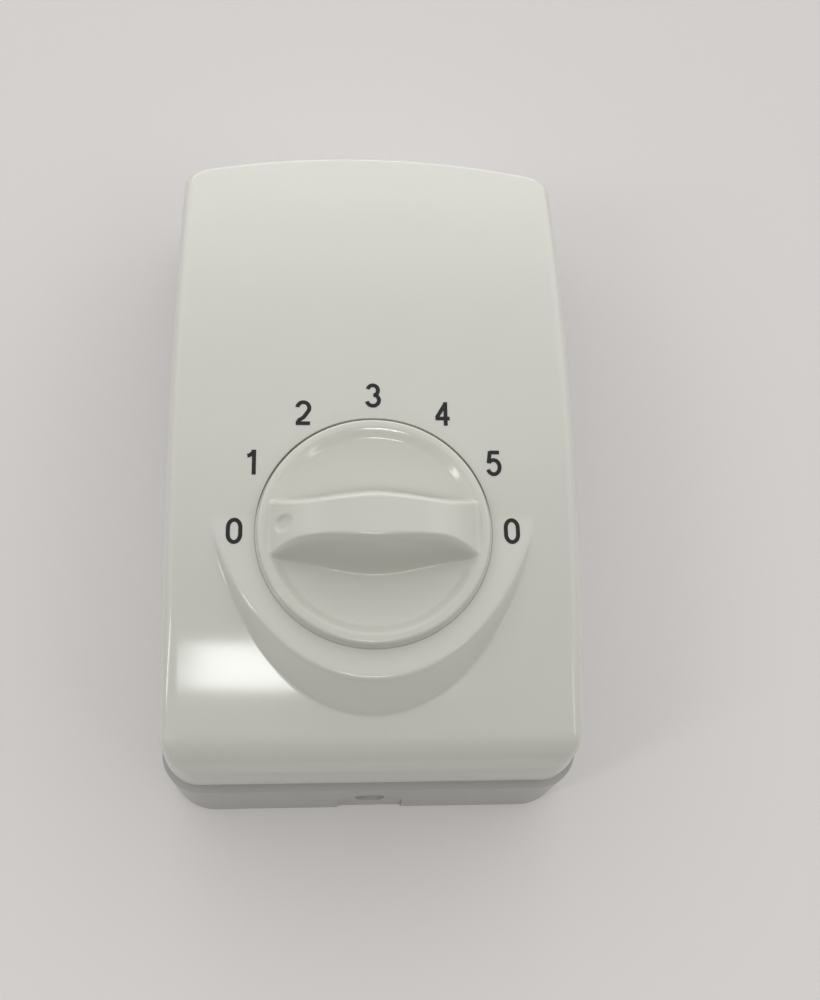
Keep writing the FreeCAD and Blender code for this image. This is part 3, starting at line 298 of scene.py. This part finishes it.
# How the cover's columns and rows are spaced, in millimetres.
cover = {
    "columns": [150, 22, 150, 22, 170, 22, 150, 22],  # on the outline's eight pieces
    "skirtRows": [(0, 1.2), (0, 0.45), (0.03, 0.25), (0.12, 0.1), (0.25, 0.03), (0.4, 0.0),
                  (2.5, 0.0)],  # rise above the skirt's foot, and inset
    "climbRows": [0.35, 0.7], "edgeRows": 13,  # shares of the climb to the front edge, and rows round it
    "edgeGuess": 32.0, "edgeSteps": 24, "chord": 0.8, "planLevel": 30.0,  # search for the front edge
    "growGuess": 3.0, "growMost": 9.0, "growSteps": 12,  # search for the foot of the seat's wall
    "leastWall": 0.5, "edgeMargin": 2.2, "outerRows": 14, "outerGap": 1.5,
    "footOutside": [1.1, 0.75, 0.45, 0.2],
    # distance from the wall's foot or top, and the most that it may be as a share of the wall's width
    "footInside": [(0.0, 0.0), (0.25, 0.08), (0.5, 0.16), (0.8, 0.24), (1.2, 0.32)],
    "topOutside": [(0.9, 0.32), (0.5, 0.24), (0.3, 0.16), (0.15, 0.1), (0.05, 0.05)],
    "topInside": [0.0, 0.1, 0.22, 0.4, 0.8], "innerRows": 12, "wellEdgeTurns": [22.5, 45, 67.5, 90],
    "wellSideStep": 3.0, "wellRing": 14.0, "cornerStep": 0.3, "holeStep": 0.2,
    "underRows": 9, "innerEdgeDrop": 4.0, "innerTop": 39.5, "innerShares": [0.1, 0.5, 1.0],
}


# Front edge: at each column, the arc of the edge's radius that touches the wall and the face, in the plane square
# to the outline. Its points swing from the arc's start to its end about the arc's centre by equal angles. Gives
# the rows of the arc, and the level at which the wall would meet the face.
def frontEdge(samples):
    count = len(samples[0])
    level = np.full(count, cover["edgeGuess"])
    for step in range(cover["edgeSteps"]):
        x, y = outline(samples, level)
        level = frontHeight(x, y)
    x, y = outline(samples, level)
    corner = np.stack([x, y, level], axis=-1)
    xLow, yLow = outline(samples, level - 1)
    down = unit(np.stack([xLow - x, yLow - y, -np.ones(count)], axis=-1))
    flatX, flatY = outline(samples, np.full(count, cover["planLevel"]))
    along = unit(np.stack([np.roll(flatX, -1) - np.roll(flatX, 1),
                           np.roll(flatY, -1) - np.roll(flatY, 1)], axis=-1))
    stepX, stepY = -along[:, 1] * cover["chord"], along[:, 0] * cover["chord"]
    inward = unit(np.stack([stepX, stepY, frontHeight(x + stepX, y + stepY) - level], axis=-1))
    half = np.arccos(np.clip((down * inward).sum(-1), -1, 1)) / 2
    reach = case["edgeRadius"] / np.tan(half)
    centre = corner + unit(down + inward) * (case["edgeRadius"] / np.sin(half))[:, None]
    start = corner + down * reach[:, None] - centre
    end = corner + inward * reach[:, None] - centre
    span = np.pi - 2 * half
    arc = [(np.sin((1 - share) * span)[:, None] * start + np.sin(share * span)[:, None] * end)
           / np.sin(span)[:, None] + centre for share in np.linspace(0, 1, cover["edgeRows"])]
    return arc, level


# Distances from the well's centre at which the face has its rows: even steps outside the seat, close ones at the
# foot and top of the seat's wall, and even steps on the seat.
def faceRadii(dirX, dirY, far):
    top = rayToEllipse(dirX, dirY, 0.0)
    grow = np.full(len(dirX), cover["growGuess"])
    for step in range(cover["growSteps"]):
        y = well["y"] + dirY * rayToEllipse(dirX, dirY, grow)
        grow = np.clip((seatLevel - archHeight(y)) * seatRunOut, 0.0, cover["growMost"])
    grow = np.where(y < 0, grow, 0.0)
    bottom = np.maximum(rayToEllipse(dirX, dirY, grow), top + cover["leastWall"])
    bottom = np.minimum(bottom, far - cover["edgeMargin"])
    top = np.minimum(top, bottom - cover["leastWall"])
    wide = bottom - top
    wellEdge = well["radius"] + well["edgeRound"]
    innermost = top - cover["topInside"][-1]
    outside = np.linspace(0, 1, cover["outerRows"] + 1)[1:]
    onSeat = np.linspace(1, 0, cover["innerRows"] + 1)[1:]
    radii = [far + (bottom + cover["outerGap"] - far) * s for s in outside]
    radii += [bottom + d for d in cover["footOutside"]]
    radii += [bottom - np.minimum(d, wide * most) for d, most in cover["footInside"]]
    radii += [top + wide * 0.5]
    radii += [top + np.minimum(d, wide * most) for d, most in cover["topOutside"]]
    radii += [top - d for d in cover["topInside"]]
    radii += [wellEdge + (innermost - wellEdge) * s for s in onSeat]
    return radii


# Closed shell: each column is one profile that climbs the skirt, rounds the front edge, crosses the face towards
# the well's centre, goes down the well, out through the bush's hole and back along the inside of every wall.
def makeCover():
    samples = outlineSamples(cover["columns"])
    count = len(samples[0])
    rows = []

    def wallRow(z, inset):
        x, y = outline(samples, z, inset)
        rows.append(np.stack([x, y, np.broadcast_to(z, x.shape)], axis=-1))

    foot = case["skirtLevel"]
    for rise, inset in cover["skirtRows"]:
        wallRow(np.full(count, foot + rise), inset)
    skirtTop = foot + cover["skirtRows"][-1][0]
    arc, level = frontEdge(samples)
    for share in cover["climbRows"]:
        wallRow(skirtTop + (arc[0][:, 2] - skirtTop) * share, 0.0)
    rows += arc

    awayX, awayY = arc[-1][:, 0], arc[-1][:, 1] - well["y"]
    far = np.hypot(awayX, awayY)
    dirX, dirY = awayX / far, awayY / far
    for r in faceRadii(dirX, dirY, far):
        x, y = dirX * r, well["y"] + dirY * r
        rows.append(np.stack([x, y, frontHeight(x, y)], axis=-1))

    def wellRow(r, z):
        r = np.broadcast_to(r, (count,))
        rows.append(np.stack([dirX * r, well["y"] + dirY * r, np.broadcast_to(z, (count,))], axis=-1))

    seatEdge = rows[-1][:, 2]
    radius, hole, e = well["radius"], well["bushHole"], well["edgeRound"]
    for a in np.radians(cover["wellEdgeTurns"]):
        wellRow(radius + e * (1 - math.sin(a)), seatEdge - e * (1 - math.cos(a)))
    wellFloor = seatLevel - well["depth"]
    under = wellFloor - well["floor"]
    outer = radius + well["wall"]
    near, small = cover["cornerStep"], cover["holeStep"]
    for r, z in ((radius, seatLevel - cover["wellSideStep"]), (radius, wellFloor + near),
                 (radius - near, wellFloor), (cover["wellRing"], wellFloor), (hole + small, wellFloor),
                 (hole, wellFloor - small), (hole, under + small), (hole + small, under),
                 (cover["wellRing"], under), (outer - near, under), (outer, under + near)):
        wellRow(r, z)

    # inside: outwards under the face, then down the inner wall to the skirt
    innerX, innerY = outline(samples, level - cover["innerEdgeDrop"], case["wall"])
    innerFar = np.hypot(innerX, innerY - well["y"])
    innerDirX, innerDirY = innerX / innerFar, (innerY - well["y"]) / innerFar
    for s in np.linspace(0, 1, cover["underRows"]):
        r = outer * (1 - s) + innerFar * s
        turnX, turnY = dirX * (1 - s) + innerDirX * s, dirY * (1 - s) + innerDirY * s
        size = np.hypot(turnX, turnY)
        x, y = turnX / size * r, well["y"] + turnY / size * r
        underArch = archHeight(y, case["frontWall"])
        wallDrop = np.maximum(seatGrowth(x, y, case["wall"]), 0) / seatRunOut
        underSeat = seatLevel - case["frontWall"] - wallDrop
        z = np.where(y < 0, np.maximum(underArch, underSeat), underArch)
        rows.append(np.stack([x, y, np.minimum(z, cover["innerTop"])], axis=-1))
    last = rows[-1][:, 2]
    for share in cover["innerShares"]:
        wallRow(last + (foot + near - last) * share, case["wall"])
    wallRow(np.full(count, foot), case["wall"] - near)
    piece = gridObject("coverShell", np.array(rows), closeRows=True)
    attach(piece, "housing")
    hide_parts("front_cover")
    dress(piece, coverAbs)
    return piece


coverShell = makeCover()
print("front cover made", len(coverShell.data.polygons))


# The knob in millimetres; levels are heights above the wall that the case sits on.
knob = {
    "y": -22.5, "outer": 21.86, "columns": 720,
    "rimLevel": 42.9, "rimCrest": 20.3, "rimWidth": 1.9, "rimDrop": 0.9, "rimBlend": 0.6,
    "dishFloor": 39.8, "dishEdge": 19.2, "dishRise": 2.5, "dishPower": 2.5,
    "barRise": 10.8, "barSink": 2.0, "barHalfLength": 19.6, "barArchPower": 2.4, "barArchRoot": 0.74,
    "barTop": 51.7, "barFoot": 38.3, "barEndDrop": 0.9, "crestRound": 2.9, "footRound": 0.8, "endBlend": 2.2,
    "planX": [0.0, 5.0, 10.0, 13.5, 16.5, 20.5, 24.0],  # along the bar, with its half widths there
    "crestHalfWidth": [4.2, 3.8, 3.1, 2.6, 2.6, 2.6, 2.6],
    "footHalfWidth": [8.4, 8.0, 7.2, 6.9, 6.8, 6.8, 6.8],
    "dimpleX": -16.4, "dimpleRadius": 1.8, "dimpleDepth": 0.6, "dimpleGain": 1.6, "dimpleFlat": 0.35,
    "ringBands": [(0.25, 3.0, 9), (3.0, 17.5, 56), (17.5, 20.7, 30)],  # from, to, and number of rings
    "rimEdge": [(0.16, -0.03), (0.3, -0.1), (0.42, -0.21), (0.52, -0.36), (0.6, -0.58),
                (0.66, -1.0)],  # outwards and upwards from the last ring
    "side": [(-0.25, 0.5), (-0.01, 0.0), (0.0, -0.3)],  # the same from the outer radius and the seat's level
    "sideBottom": 38.0,
    "underside": [(21.7, 34.6), (21.5, 34.4), (20.2, 34.4), (20.0, 34.6), (20.0, 38.0), (20.0, 39.9),
                  (19.3, 39.6), (17.0, 38.9), (12.0, 38.2), (8.0, 38.0), (5.2, 38.2), (5.0, 39.0),
                  (3.4, 39.0), (3.1, 39.2), (3.1, 47.4), (2.9, 47.6), (1.2, 47.6)],  # radius and level
}


# Smooth even curve through the listed values: cubic pieces whose slopes match where they meet.
def smoothThrough(x, xs, ys):
    xs, ys = np.array(xs), np.array(ys)
    xs = np.concatenate([-xs[:0:-1], xs])
    ys = np.concatenate([ys[:0:-1], ys])
    slopes = np.gradient(ys, xs)
    k = np.clip(np.searchsorted(xs, x) - 1, 0, len(xs) - 2)
    width = xs[k + 1] - xs[k]
    t = (x - xs[k]) / width
    return ((2 * t ** 3 - 3 * t ** 2 + 1) * ys[k] + (t ** 3 - 2 * t ** 2 + t) * width * slopes[k]
            + (-2 * t ** 3 + 3 * t ** 2) * ys[k + 1] + (t ** 3 - t ** 2) * width * slopes[k + 1])


# Upper face of the knob about its own axis: the larger of the dish, a bowl whose height grows with a power of the
# radius, the half-round rim, and the bar, the smaller of its arched crest and its sloping sides; then the dimple,
# a smooth step of how far inside its circle a point lies.
def knobHeight(x, y):
    r = np.hypot(x, y)
    bowl = knob["dishFloor"] + knob["dishRise"] * (r / knob["dishEdge"]) ** knob["dishPower"]
    rim = knob["rimLevel"] - knob["rimDrop"] * (np.maximum(knob["rimCrest"] - r, 0) / knob["rimWidth"]) ** 2
    dish = np.where(r > knob["rimCrest"], rim, roundedMax(bowl, rim, knob["rimBlend"]))
    dish = np.minimum(dish, knob["rimLevel"])
    t = np.clip(np.abs(x) / knob["barHalfLength"], 0, 1)
    arch = (knob["rimLevel"] - knob["barSink"]
            + knob["barRise"] * (1 - t ** knob["barArchPower"]) ** knob["barArchRoot"])
    barEnd = np.full(np.shape(x), knob["rimLevel"] - knob["barEndDrop"])
    crest = roundedMax(arch, barEnd, knob["endBlend"])
    top = smoothThrough(x, knob["planX"], knob["crestHalfWidth"])
    foot = smoothThrough(x, knob["planX"], knob["footHalfWidth"])
    side = knob["barFoot"] + (foot - np.abs(y)) / (foot - top) * (knob["barTop"] - knob["barFoot"])
    bar = roundedMin(crest, side, knob["crestRound"])
    height = roundedMax(dish, bar, knob["footRound"])
    hollow = np.clip(1 - ((x - knob["dimpleX"]) ** 2 + y ** 2) / knob["dimpleRadius"] ** 2, 0, 1)
    depth = knob["dimpleDepth"] * knob["dimpleGain"] * (1 - knob["dimpleFlat"] * hollow)
    return height - depth * hollow * hollow * (3 - 2 * hollow)


# Knob: rings about its axis. Each ring inside the rim takes its height from the upper face; the rim's edge, the
# side and the hollow underside are plain turned shapes.
def makeKnob():
    count = knob["columns"]
    angle = np.arange(count) * 2 * np.pi / count
    cos, sin = np.cos(angle), np.sin(angle)
    rows = []

    def turned(r, z):
        rows.append(np.stack([cos * r, knob["y"] + sin * r, np.broadcast_to(z, (count,))], axis=-1))

    bands = [np.linspace(*band) for band in knob["ringBands"]]
    for r in np.concatenate([band[:-1] for band in bands[:-1]] + bands[-1:]):
        turned(r, knobHeight(cos * r, sin * r))
    rimStart, join = bands[-1][-1], rows[-1][:, 2]
    for out, up in knob["rimEdge"]:
        turned(rimStart + out, join + up)
    for out, up in knob["side"]:
        turned(knob["outer"] + out, seatLevel + up)
    turned(knob["outer"], knob["sideBottom"])
    for r, z in knob["underside"]:
        turned(r, z)
    boreTop = knob["underside"][-1][1]
    crown = float(knobHeight(np.array([0.0]), np.array([0.0]))[0])
    piece = gridObject("knobShell", np.array(rows)[::-1], startPole=(0, knob["y"], boreTop),
                       endPole=(0, knob["y"], crown))
    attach(piece, "selector")
    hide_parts("speed_knob")
    dress(piece, knobAbsPaintedShade)
    return piece


knobShell = makeKnob()
print("knob made", len(knobShell.data.polygons))


# The dial's numerals in millimetres and degrees; spread moves the upper ones out a little further.
numeral = {"order": [0, 1, 2, 3, 4, 5, 0], "firstAngle": 180, "turn": 30, "circle": 25.5, "spread": 0.95,
           "height": 4.78, "stroke": 0.75, "proud": 0.05, "sunk": 0.05}


# Arc of an ellipse: its centre moved by the cosine and sine of evenly stepped angles times the half axes.
def arcPath(cx, cy, rx, ry, start, end, steps=26):
    a = np.radians(np.linspace(start, end, steps))
    return np.stack([cx + rx * np.cos(a), cy + ry * np.sin(a)], axis=-1)


# Straight pieces between the listed points.
def linePath(*points):
    return np.array(points, dtype=float)


# Centre lines of each numeral in units of its height; only the 0 closes on itself.
strokes = {
    0: [np.vstack([arcPath(0, 0.13, 0.235, 0.31, 0, 180, 24), arcPath(0, -0.13, 0.235, 0.31, 180, 360, 24)])],
    1: [linePath((0.07, -0.5), (0.07, 0.5)),
        np.vstack([arcPath(-0.2, 0.52, 0.26, 0.26, -10, -80, 12), linePath((-0.19, 0.26))])],
    2: [np.vstack([arcPath(0.0, 0.2, 0.235, 0.245, 172, -32),
                   linePath((0.02, -0.19), (-0.16, -0.31), (-0.225, -0.44))]),
        linePath((-0.29, -0.445), (0.27, -0.445))],
    3: [arcPath(-0.01, 0.22, 0.205, 0.225, 165, -82), arcPath(-0.01, -0.205, 0.24, 0.24, 84, -168)],
    4: [linePath((0.11, -0.5), (0.11, 0.5)), linePath((0.11, 0.43), (-0.245, -0.17)),
        linePath((-0.29, -0.2), (0.27, -0.2))],
    5: [linePath((-0.15, 0.445), (0.235, 0.445)), linePath((-0.13, 0.49), (-0.195, 0.0)),
        arcPath(0.0, -0.155, 0.235, 0.29, 142, -160)],
}


# Ink band: a flat rectangle carried along a centre line, square to it at each point, with its lower face just
# under the front surface and its upper face just above it. Gives four points for each point of the line.
def inkBand(path, closed, place):
    forward = unit(np.roll(path, -1, 0) - np.roll(path, 1, 0) if closed else np.gradient(path, axis=0))
    side = np.stack([-forward[:, 1], forward[:, 0]], axis=-1)
    low, high = -numeral["sunk"], numeral["proud"]
    corners = []
    for across, lift in ((-1, low), (1, low), (1, high), (-1, high)):
        flat = path + side * across * numeral["stroke"] / 2 + place
        z = frontHeight(flat[:, 0], flat[:, 1]) + lift
        corners.append(np.concatenate([flat, z[:, None]], axis=-1))
    return np.stack(corners, axis=1)


# Numerals: each ink band's points joined by quads, with a flat end at both ends of an open band. Their places
# lie on a circle about the knob, one turn apart and clockwise.
def makeNumerals():
    verts, faces = [], []
    for k, digit in enumerate(numeral["order"]):
        angle = math.radians(numeral["firstAngle"] - numeral["turn"] * k)
        reach = numeral["circle"] + numeral["spread"] * math.sin(angle)
        place = np.array([reach * math.cos(angle), well["y"] + reach * math.sin(angle)])
        closed = digit == 0
        for path in strokes[digit]:
            band = inkBand(path * numeral["height"], closed, place)
            index = np.arange(len(band) * 4).reshape(-1, 4) + sum(len(v) for v in verts)
            here = index if closed else index[:-1]
            ahead = np.roll(index, -1, 0) if closed else index[1:]
            quads = np.stack([here, np.roll(here, -1, 1), np.roll(ahead, -1, 1), ahead], axis=-1)
            faces += quads.reshape(-1, 4).tolist()
            if not closed:
                faces += [index[0][::-1].tolist(), index[-1].tolist()]
            verts.append(band.reshape(-1, 3))
    piece = meshObject("numeralInk", np.vstack(verts), faces)
    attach(piece, "housing")
    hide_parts("dial_numerals")
    dress(piece, numeralInk)
    return piece


numeralBands = makeNumerals()
print("numerals made", len(numeralBands.data.polygons))


# Zinc-plated steel: pale blue-grey with a fine satin mottling. Sizes and depths are in millimetres.
platedSteel = {"colour": "#C6C8CC", "shade": "#A9ABB0", "stretch": (1, 1, 1), "lineSize": 1.111,
               "metallic": 1.0, "roughLow": 0.28, "roughHigh": 0.42, "bump": 0.25, "bumpDepth": 0.03}
zincSteel = workedMetal("zincPlatedSteel", platedSteel)
# Rolled spring steel: the same satin, darker, because it is bare.
springSteel = workedMetal("rolledSpringSteel", {**platedSteel, "colour": "#9A9CA0", "shade": "#77797D"})
# Nickel-plated brass: a warmer, slightly yellow silver.
nickelBrass = workedMetal("nickelPlatedBrass", {**platedSteel, "colour": "#D2CBB6", "shade": "#B9B19A"})
# Stamped brass: bright yellow.
brightBrass = workedMetal("stampedBrass", {**platedSteel, "colour": "#D9B56A", "shade": "#B8924A"})
# Varnished laminations: dark grey, with the sheets' edges as lines 16.67 / 40 = 0.42 mm apart up the stack.
lamination = workedMetal("varnishedLaminations", {**platedSteel, "colour": "#5A5A60", "shade": "#35353A",
                                                  "stretch": (1, 1, 40), "lineSize": 16.67, "metallic": 0.6})
# Enamelled copper wire: red-brown, with its turns as lines 14.29 / 30 = 0.48 mm apart.
enamelCopper = workedMetal("enamelledCopper", {**platedSteel, "colour": "#B4602E", "shade": "#7E3B18",
                                               "stretch": (1, 30, 1), "lineSize": 14.29})
# Punched paper laminate: brown and nearly matt.
paperLaminate = mouldedPlastic("punchedPaperLaminate", {**glossyAbs, "colour": "#8A5A34", "shade": "#6F4526",
                                                        "roughLow": 0.45, "roughHigh": 0.6, "glow": 0.0})
# Moulded natural acetal: milky white with a waxy sheen.
naturalAcetal = mouldedPlastic("mouldedAcetal", {**glossyAbs, "colour": "#E2DDCC", "shade": "#D6D0BC",
                                                 "roughLow": 0.35, "roughHigh": 0.45})
# Moulded glass-filled nylon: black, and matt from the fibres at its surface.
blackNylon = mouldedPlastic("mouldedBlackNylon", {**glossyAbs, "colour": "#232325", "shade": "#1A1A1C",
                                                  "roughLow": 0.5, "roughHigh": 0.65, "glow": 0.0})
# Moulded natural nylon: cream with a dull sheen.
paleNylon = mouldedPlastic("mouldedPaleNylon", {**glossyAbs, "colour": "#E6E2D4", "shade": "#DAD5C4",
                                                "roughLow": 0.4, "roughHigh": 0.5})
# Extruded wire sleeve: plain grey, smooth but not glossy.
wireSleeve = mouldedPlastic("extrudedWireSleeve", {**glossyAbs, "colour": "#8E9499", "shade": "#7F858A",
                                                   "roughLow": 0.4, "roughHigh": 0.5, "glow": 0.0})
finishes = {
    "rear_base": baseAbsPaintedShade, "knob_spring_clip": springSteel, "switch_shaft": zincSteel,
    "shaft_circlip": springSteel, "switch_bush": nickelBrass, "bush_washer": zincSteel,
    "bush_nut": nickelBrass, "switch_front_plate": zincSteel, "switch_spacers": nickelBrass,
    "switch_screws": zincSteel, "switch_wafer": paperLaminate, "switch_contacts": brightBrass,
    "switch_rotor": naturalAcetal, "rotor_contact": brightBrass, "detent_wheel": naturalAcetal,
    "detent_spring": springSteel, "transformer_core": lamination, "transformer_bobbin": blackNylon,
    "transformer_winding": enamelCopper, "transformer_screws": zincSteel, "terminal_block": paleNylon,
    "terminal_cages": nickelBrass, "terminal_screws": zincSteel, "terminal_block_screw": zincSteel,
    "cover_screw": zincSteel, "tap_leads": wireSleeve, "line_leads": wireSleeve,
}
for node, material in finishes.items():
    dress(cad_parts[node], material)
print("inner pieces dressed")


# The table: a pale matt sheet just under the case, in millimetres.
table = {"colour": "#E1DDDB", "roughness": 0.7, "reach": 800.0, "level": -0.2}
reach, level = table["reach"], table["level"]
floorSheet = meshObject("floorSheet", [(-reach, -reach, level), (reach, -reach, level),
                                       (reach, reach, level), (-reach, reach, level)], [(0, 1, 2, 3)])
floorPaint = bpy.data.materials.new("paleTable")
floorPaint.use_nodes = True
floorShader = floorPaint.node_tree.nodes["Principled BSDF"]
floorShader.inputs["Base Color"].default_value = linearColour(table["colour"])
floorShader.inputs["Roughness"].default_value = table["roughness"]
dress(floorSheet, floorPaint)

# The room's light: brightest beyond the top end, dimmest on the near side, with a softly shaded patch overhead.
# A range gives the cosines, measured from the named direction, between which the light changes smoothly.
room = {"dimSide": 0.04, "brightSide": 1.68, "brightFrom": (0.1, 0.69, 0.717), "brightRange": (-0.35, 1.0),
        "overhead": (0.03, 0.22, 0.975), "overheadShade": 0.78, "overheadRange": (0.55, 0.97)}
world = bpy.data.worlds.new("softRoom")
bpy.context.scene.world = world
world.use_nodes = True
roomTree = world.node_tree
roomPlace = addNode(roomTree, "ShaderNodeTexCoord").outputs["Generated"]
strengths = []
for direction, (start, end), (dim, bright) in (
        (room["brightFrom"], room["brightRange"], (room["dimSide"], room["brightSide"])),
        (room["overhead"], room["overheadRange"], (1.0, 1.0 - room["overheadShade"]))):
    facing = addNode(roomTree, "ShaderNodeVectorMath", {"operation": "DOT_PRODUCT", 1: direction}, {0: roomPlace})
    strengths.append(addNode(roomTree, "ShaderNodeMapRange",
                             {"interpolation_type": "SMOOTHSTEP", "From Min": start, "From Max": end,
                              "To Min": dim, "To Max": bright},
                             {"Value": facing.outputs["Value"]}).outputs["Result"])
glow = addNode(roomTree, "ShaderNodeMath", {"operation": "MULTIPLY"}, {0: strengths[0], 1: strengths[1]})
backdrop = roomTree.nodes["Background"]
backdrop.inputs["Color"].default_value = linearColour("#FFFFFF")
roomTree.links.new(glow.outputs["Value"], backdrop.inputs["Strength"])

# Lamps: place, the point it faces, and size across and along, in metres; then power in watts.
lamps = {
    "ceilingPanel": ((0.15, 0.9, 1.3), (0, 0, 0.02), (1.6, 1.2), 1.2),
    "leftStrip": ((-0.95, -0.35, 0.85), (0, 0, 0.03), (0.1, 0.6), 1.5),
    "rightStrip": ((0.75, -0.55, 0.95), (0, 0, 0.03), (0.1, 0.5), 0.5),
    "farStrip": ((-0.1, 1.3, 0.2), (0, 0, 0.03), (1.0, 0.08), 1.0),
    "windowPane": ((-0.026, -0.467, 1.15), (-0.005, -0.046, 0.036), (0.35, 0.19), 2.6),
}
for name, (place, target, size, power) in lamps.items():
    lampData = bpy.data.lights.new(name, "AREA")
    lampData.shape = "RECTANGLE"
    lampData.size, lampData.size_y = size
    lampData.energy = power
    lamp = bpy.data.objects.new(name, lampData)
    bpy.context.scene.collection.objects.link(lamp)
    lamp.location = place
    lamp.rotation_euler = (Vector(target) - Vector(place)).to_track_quat("-Z", "Y").to_euler()

# Soft-edged pane: its strength falls from 1 to 0 between two distances from its middle, on both axes, and a slow
# noise bends the border a little. Distances are shares of the pane.
pane = {"ripples": 3.5, "rippleReach": 0.12, "middle": 0.56, "fadeStart": 0.38, "fadeEnd": 0.48}
paneData = bpy.data.lights["windowPane"]
paneData.use_nodes = True
paneTree = paneData.node_tree
panePlace = addNode(paneTree, "ShaderNodeTexCoord").outputs["UV"]
ripple = addNode(paneTree, "ShaderNodeTexNoise", {"Scale": pane["ripples"], "Detail": 2.0},
                 {"Vector": panePlace})
offset = addNode(paneTree, "ShaderNodeVectorMath",
                 {"operation": "MULTIPLY_ADD", 1: (pane["rippleReach"], pane["rippleReach"], 0.0)},
                 {0: ripple.outputs["Color"], 2: panePlace})
bent = addNode(paneTree, "ShaderNodeSeparateXYZ", None, {"Vector": offset.outputs["Vector"]})
fades = []
for axis in ("X", "Y"):
    away = addNode(paneTree, "ShaderNodeMath", {"operation": "SUBTRACT", 1: pane["middle"]},
                   {0: bent.outputs[axis]})
    distance = addNode(paneTree, "ShaderNodeMath", {"operation": "ABSOLUTE"}, {0: away.outputs["Value"]})
    fades.append(addNode(paneTree, "ShaderNodeMapRange",
                         {"interpolation_type": "SMOOTHSTEP", "From Min": pane["fadeStart"],
                          "From Max": pane["fadeEnd"], "To Min": 1.0, "To Max": 0.0},
                         {"Value": distance.outputs["Value"]}).outputs["Result"])
shine = addNode(paneTree, "ShaderNodeMath", {"operation": "MULTIPLY"}, {0: fades[0], 1: fades[1]})
paneTree.links.new(shine.outputs["Value"], paneTree.nodes["Emission"].inputs["Strength"])
print("room lit")

# The camera: its place in metres, its turn as a matrix, and its focal length in pixels of the image's height.
view = {"place": (-0.0085472, -0.0802650, 0.2400659), "focalPixels": 1130, "imageHeight": 1000,
        "sensor": 36.0, "clipStart": 0.01,
        "turn": ((0.9973483, -0.0029592, -0.0727160), (-0.0193426, 0.9524574, -0.3040572),
                 (0.0701587, 0.3046575, 0.9498745))}
camera = bpy.data.cameras.new("photoCamera")
camera.sensor_width = view["sensor"]
camera.lens = view["focalPixels"] * view["sensor"] / view["imageHeight"]
camera.clip_start = view["clipStart"]
photoCamera = bpy.data.objects.new("photoCamera", camera)
bpy.context.scene.collection.objects.link(photoCamera)
photoCamera.matrix_world = Matrix.Translation(view["place"]) @ Matrix(view["turn"]).to_4x4()
bpy.context.scene.camera = photoCamera
print("stage set")
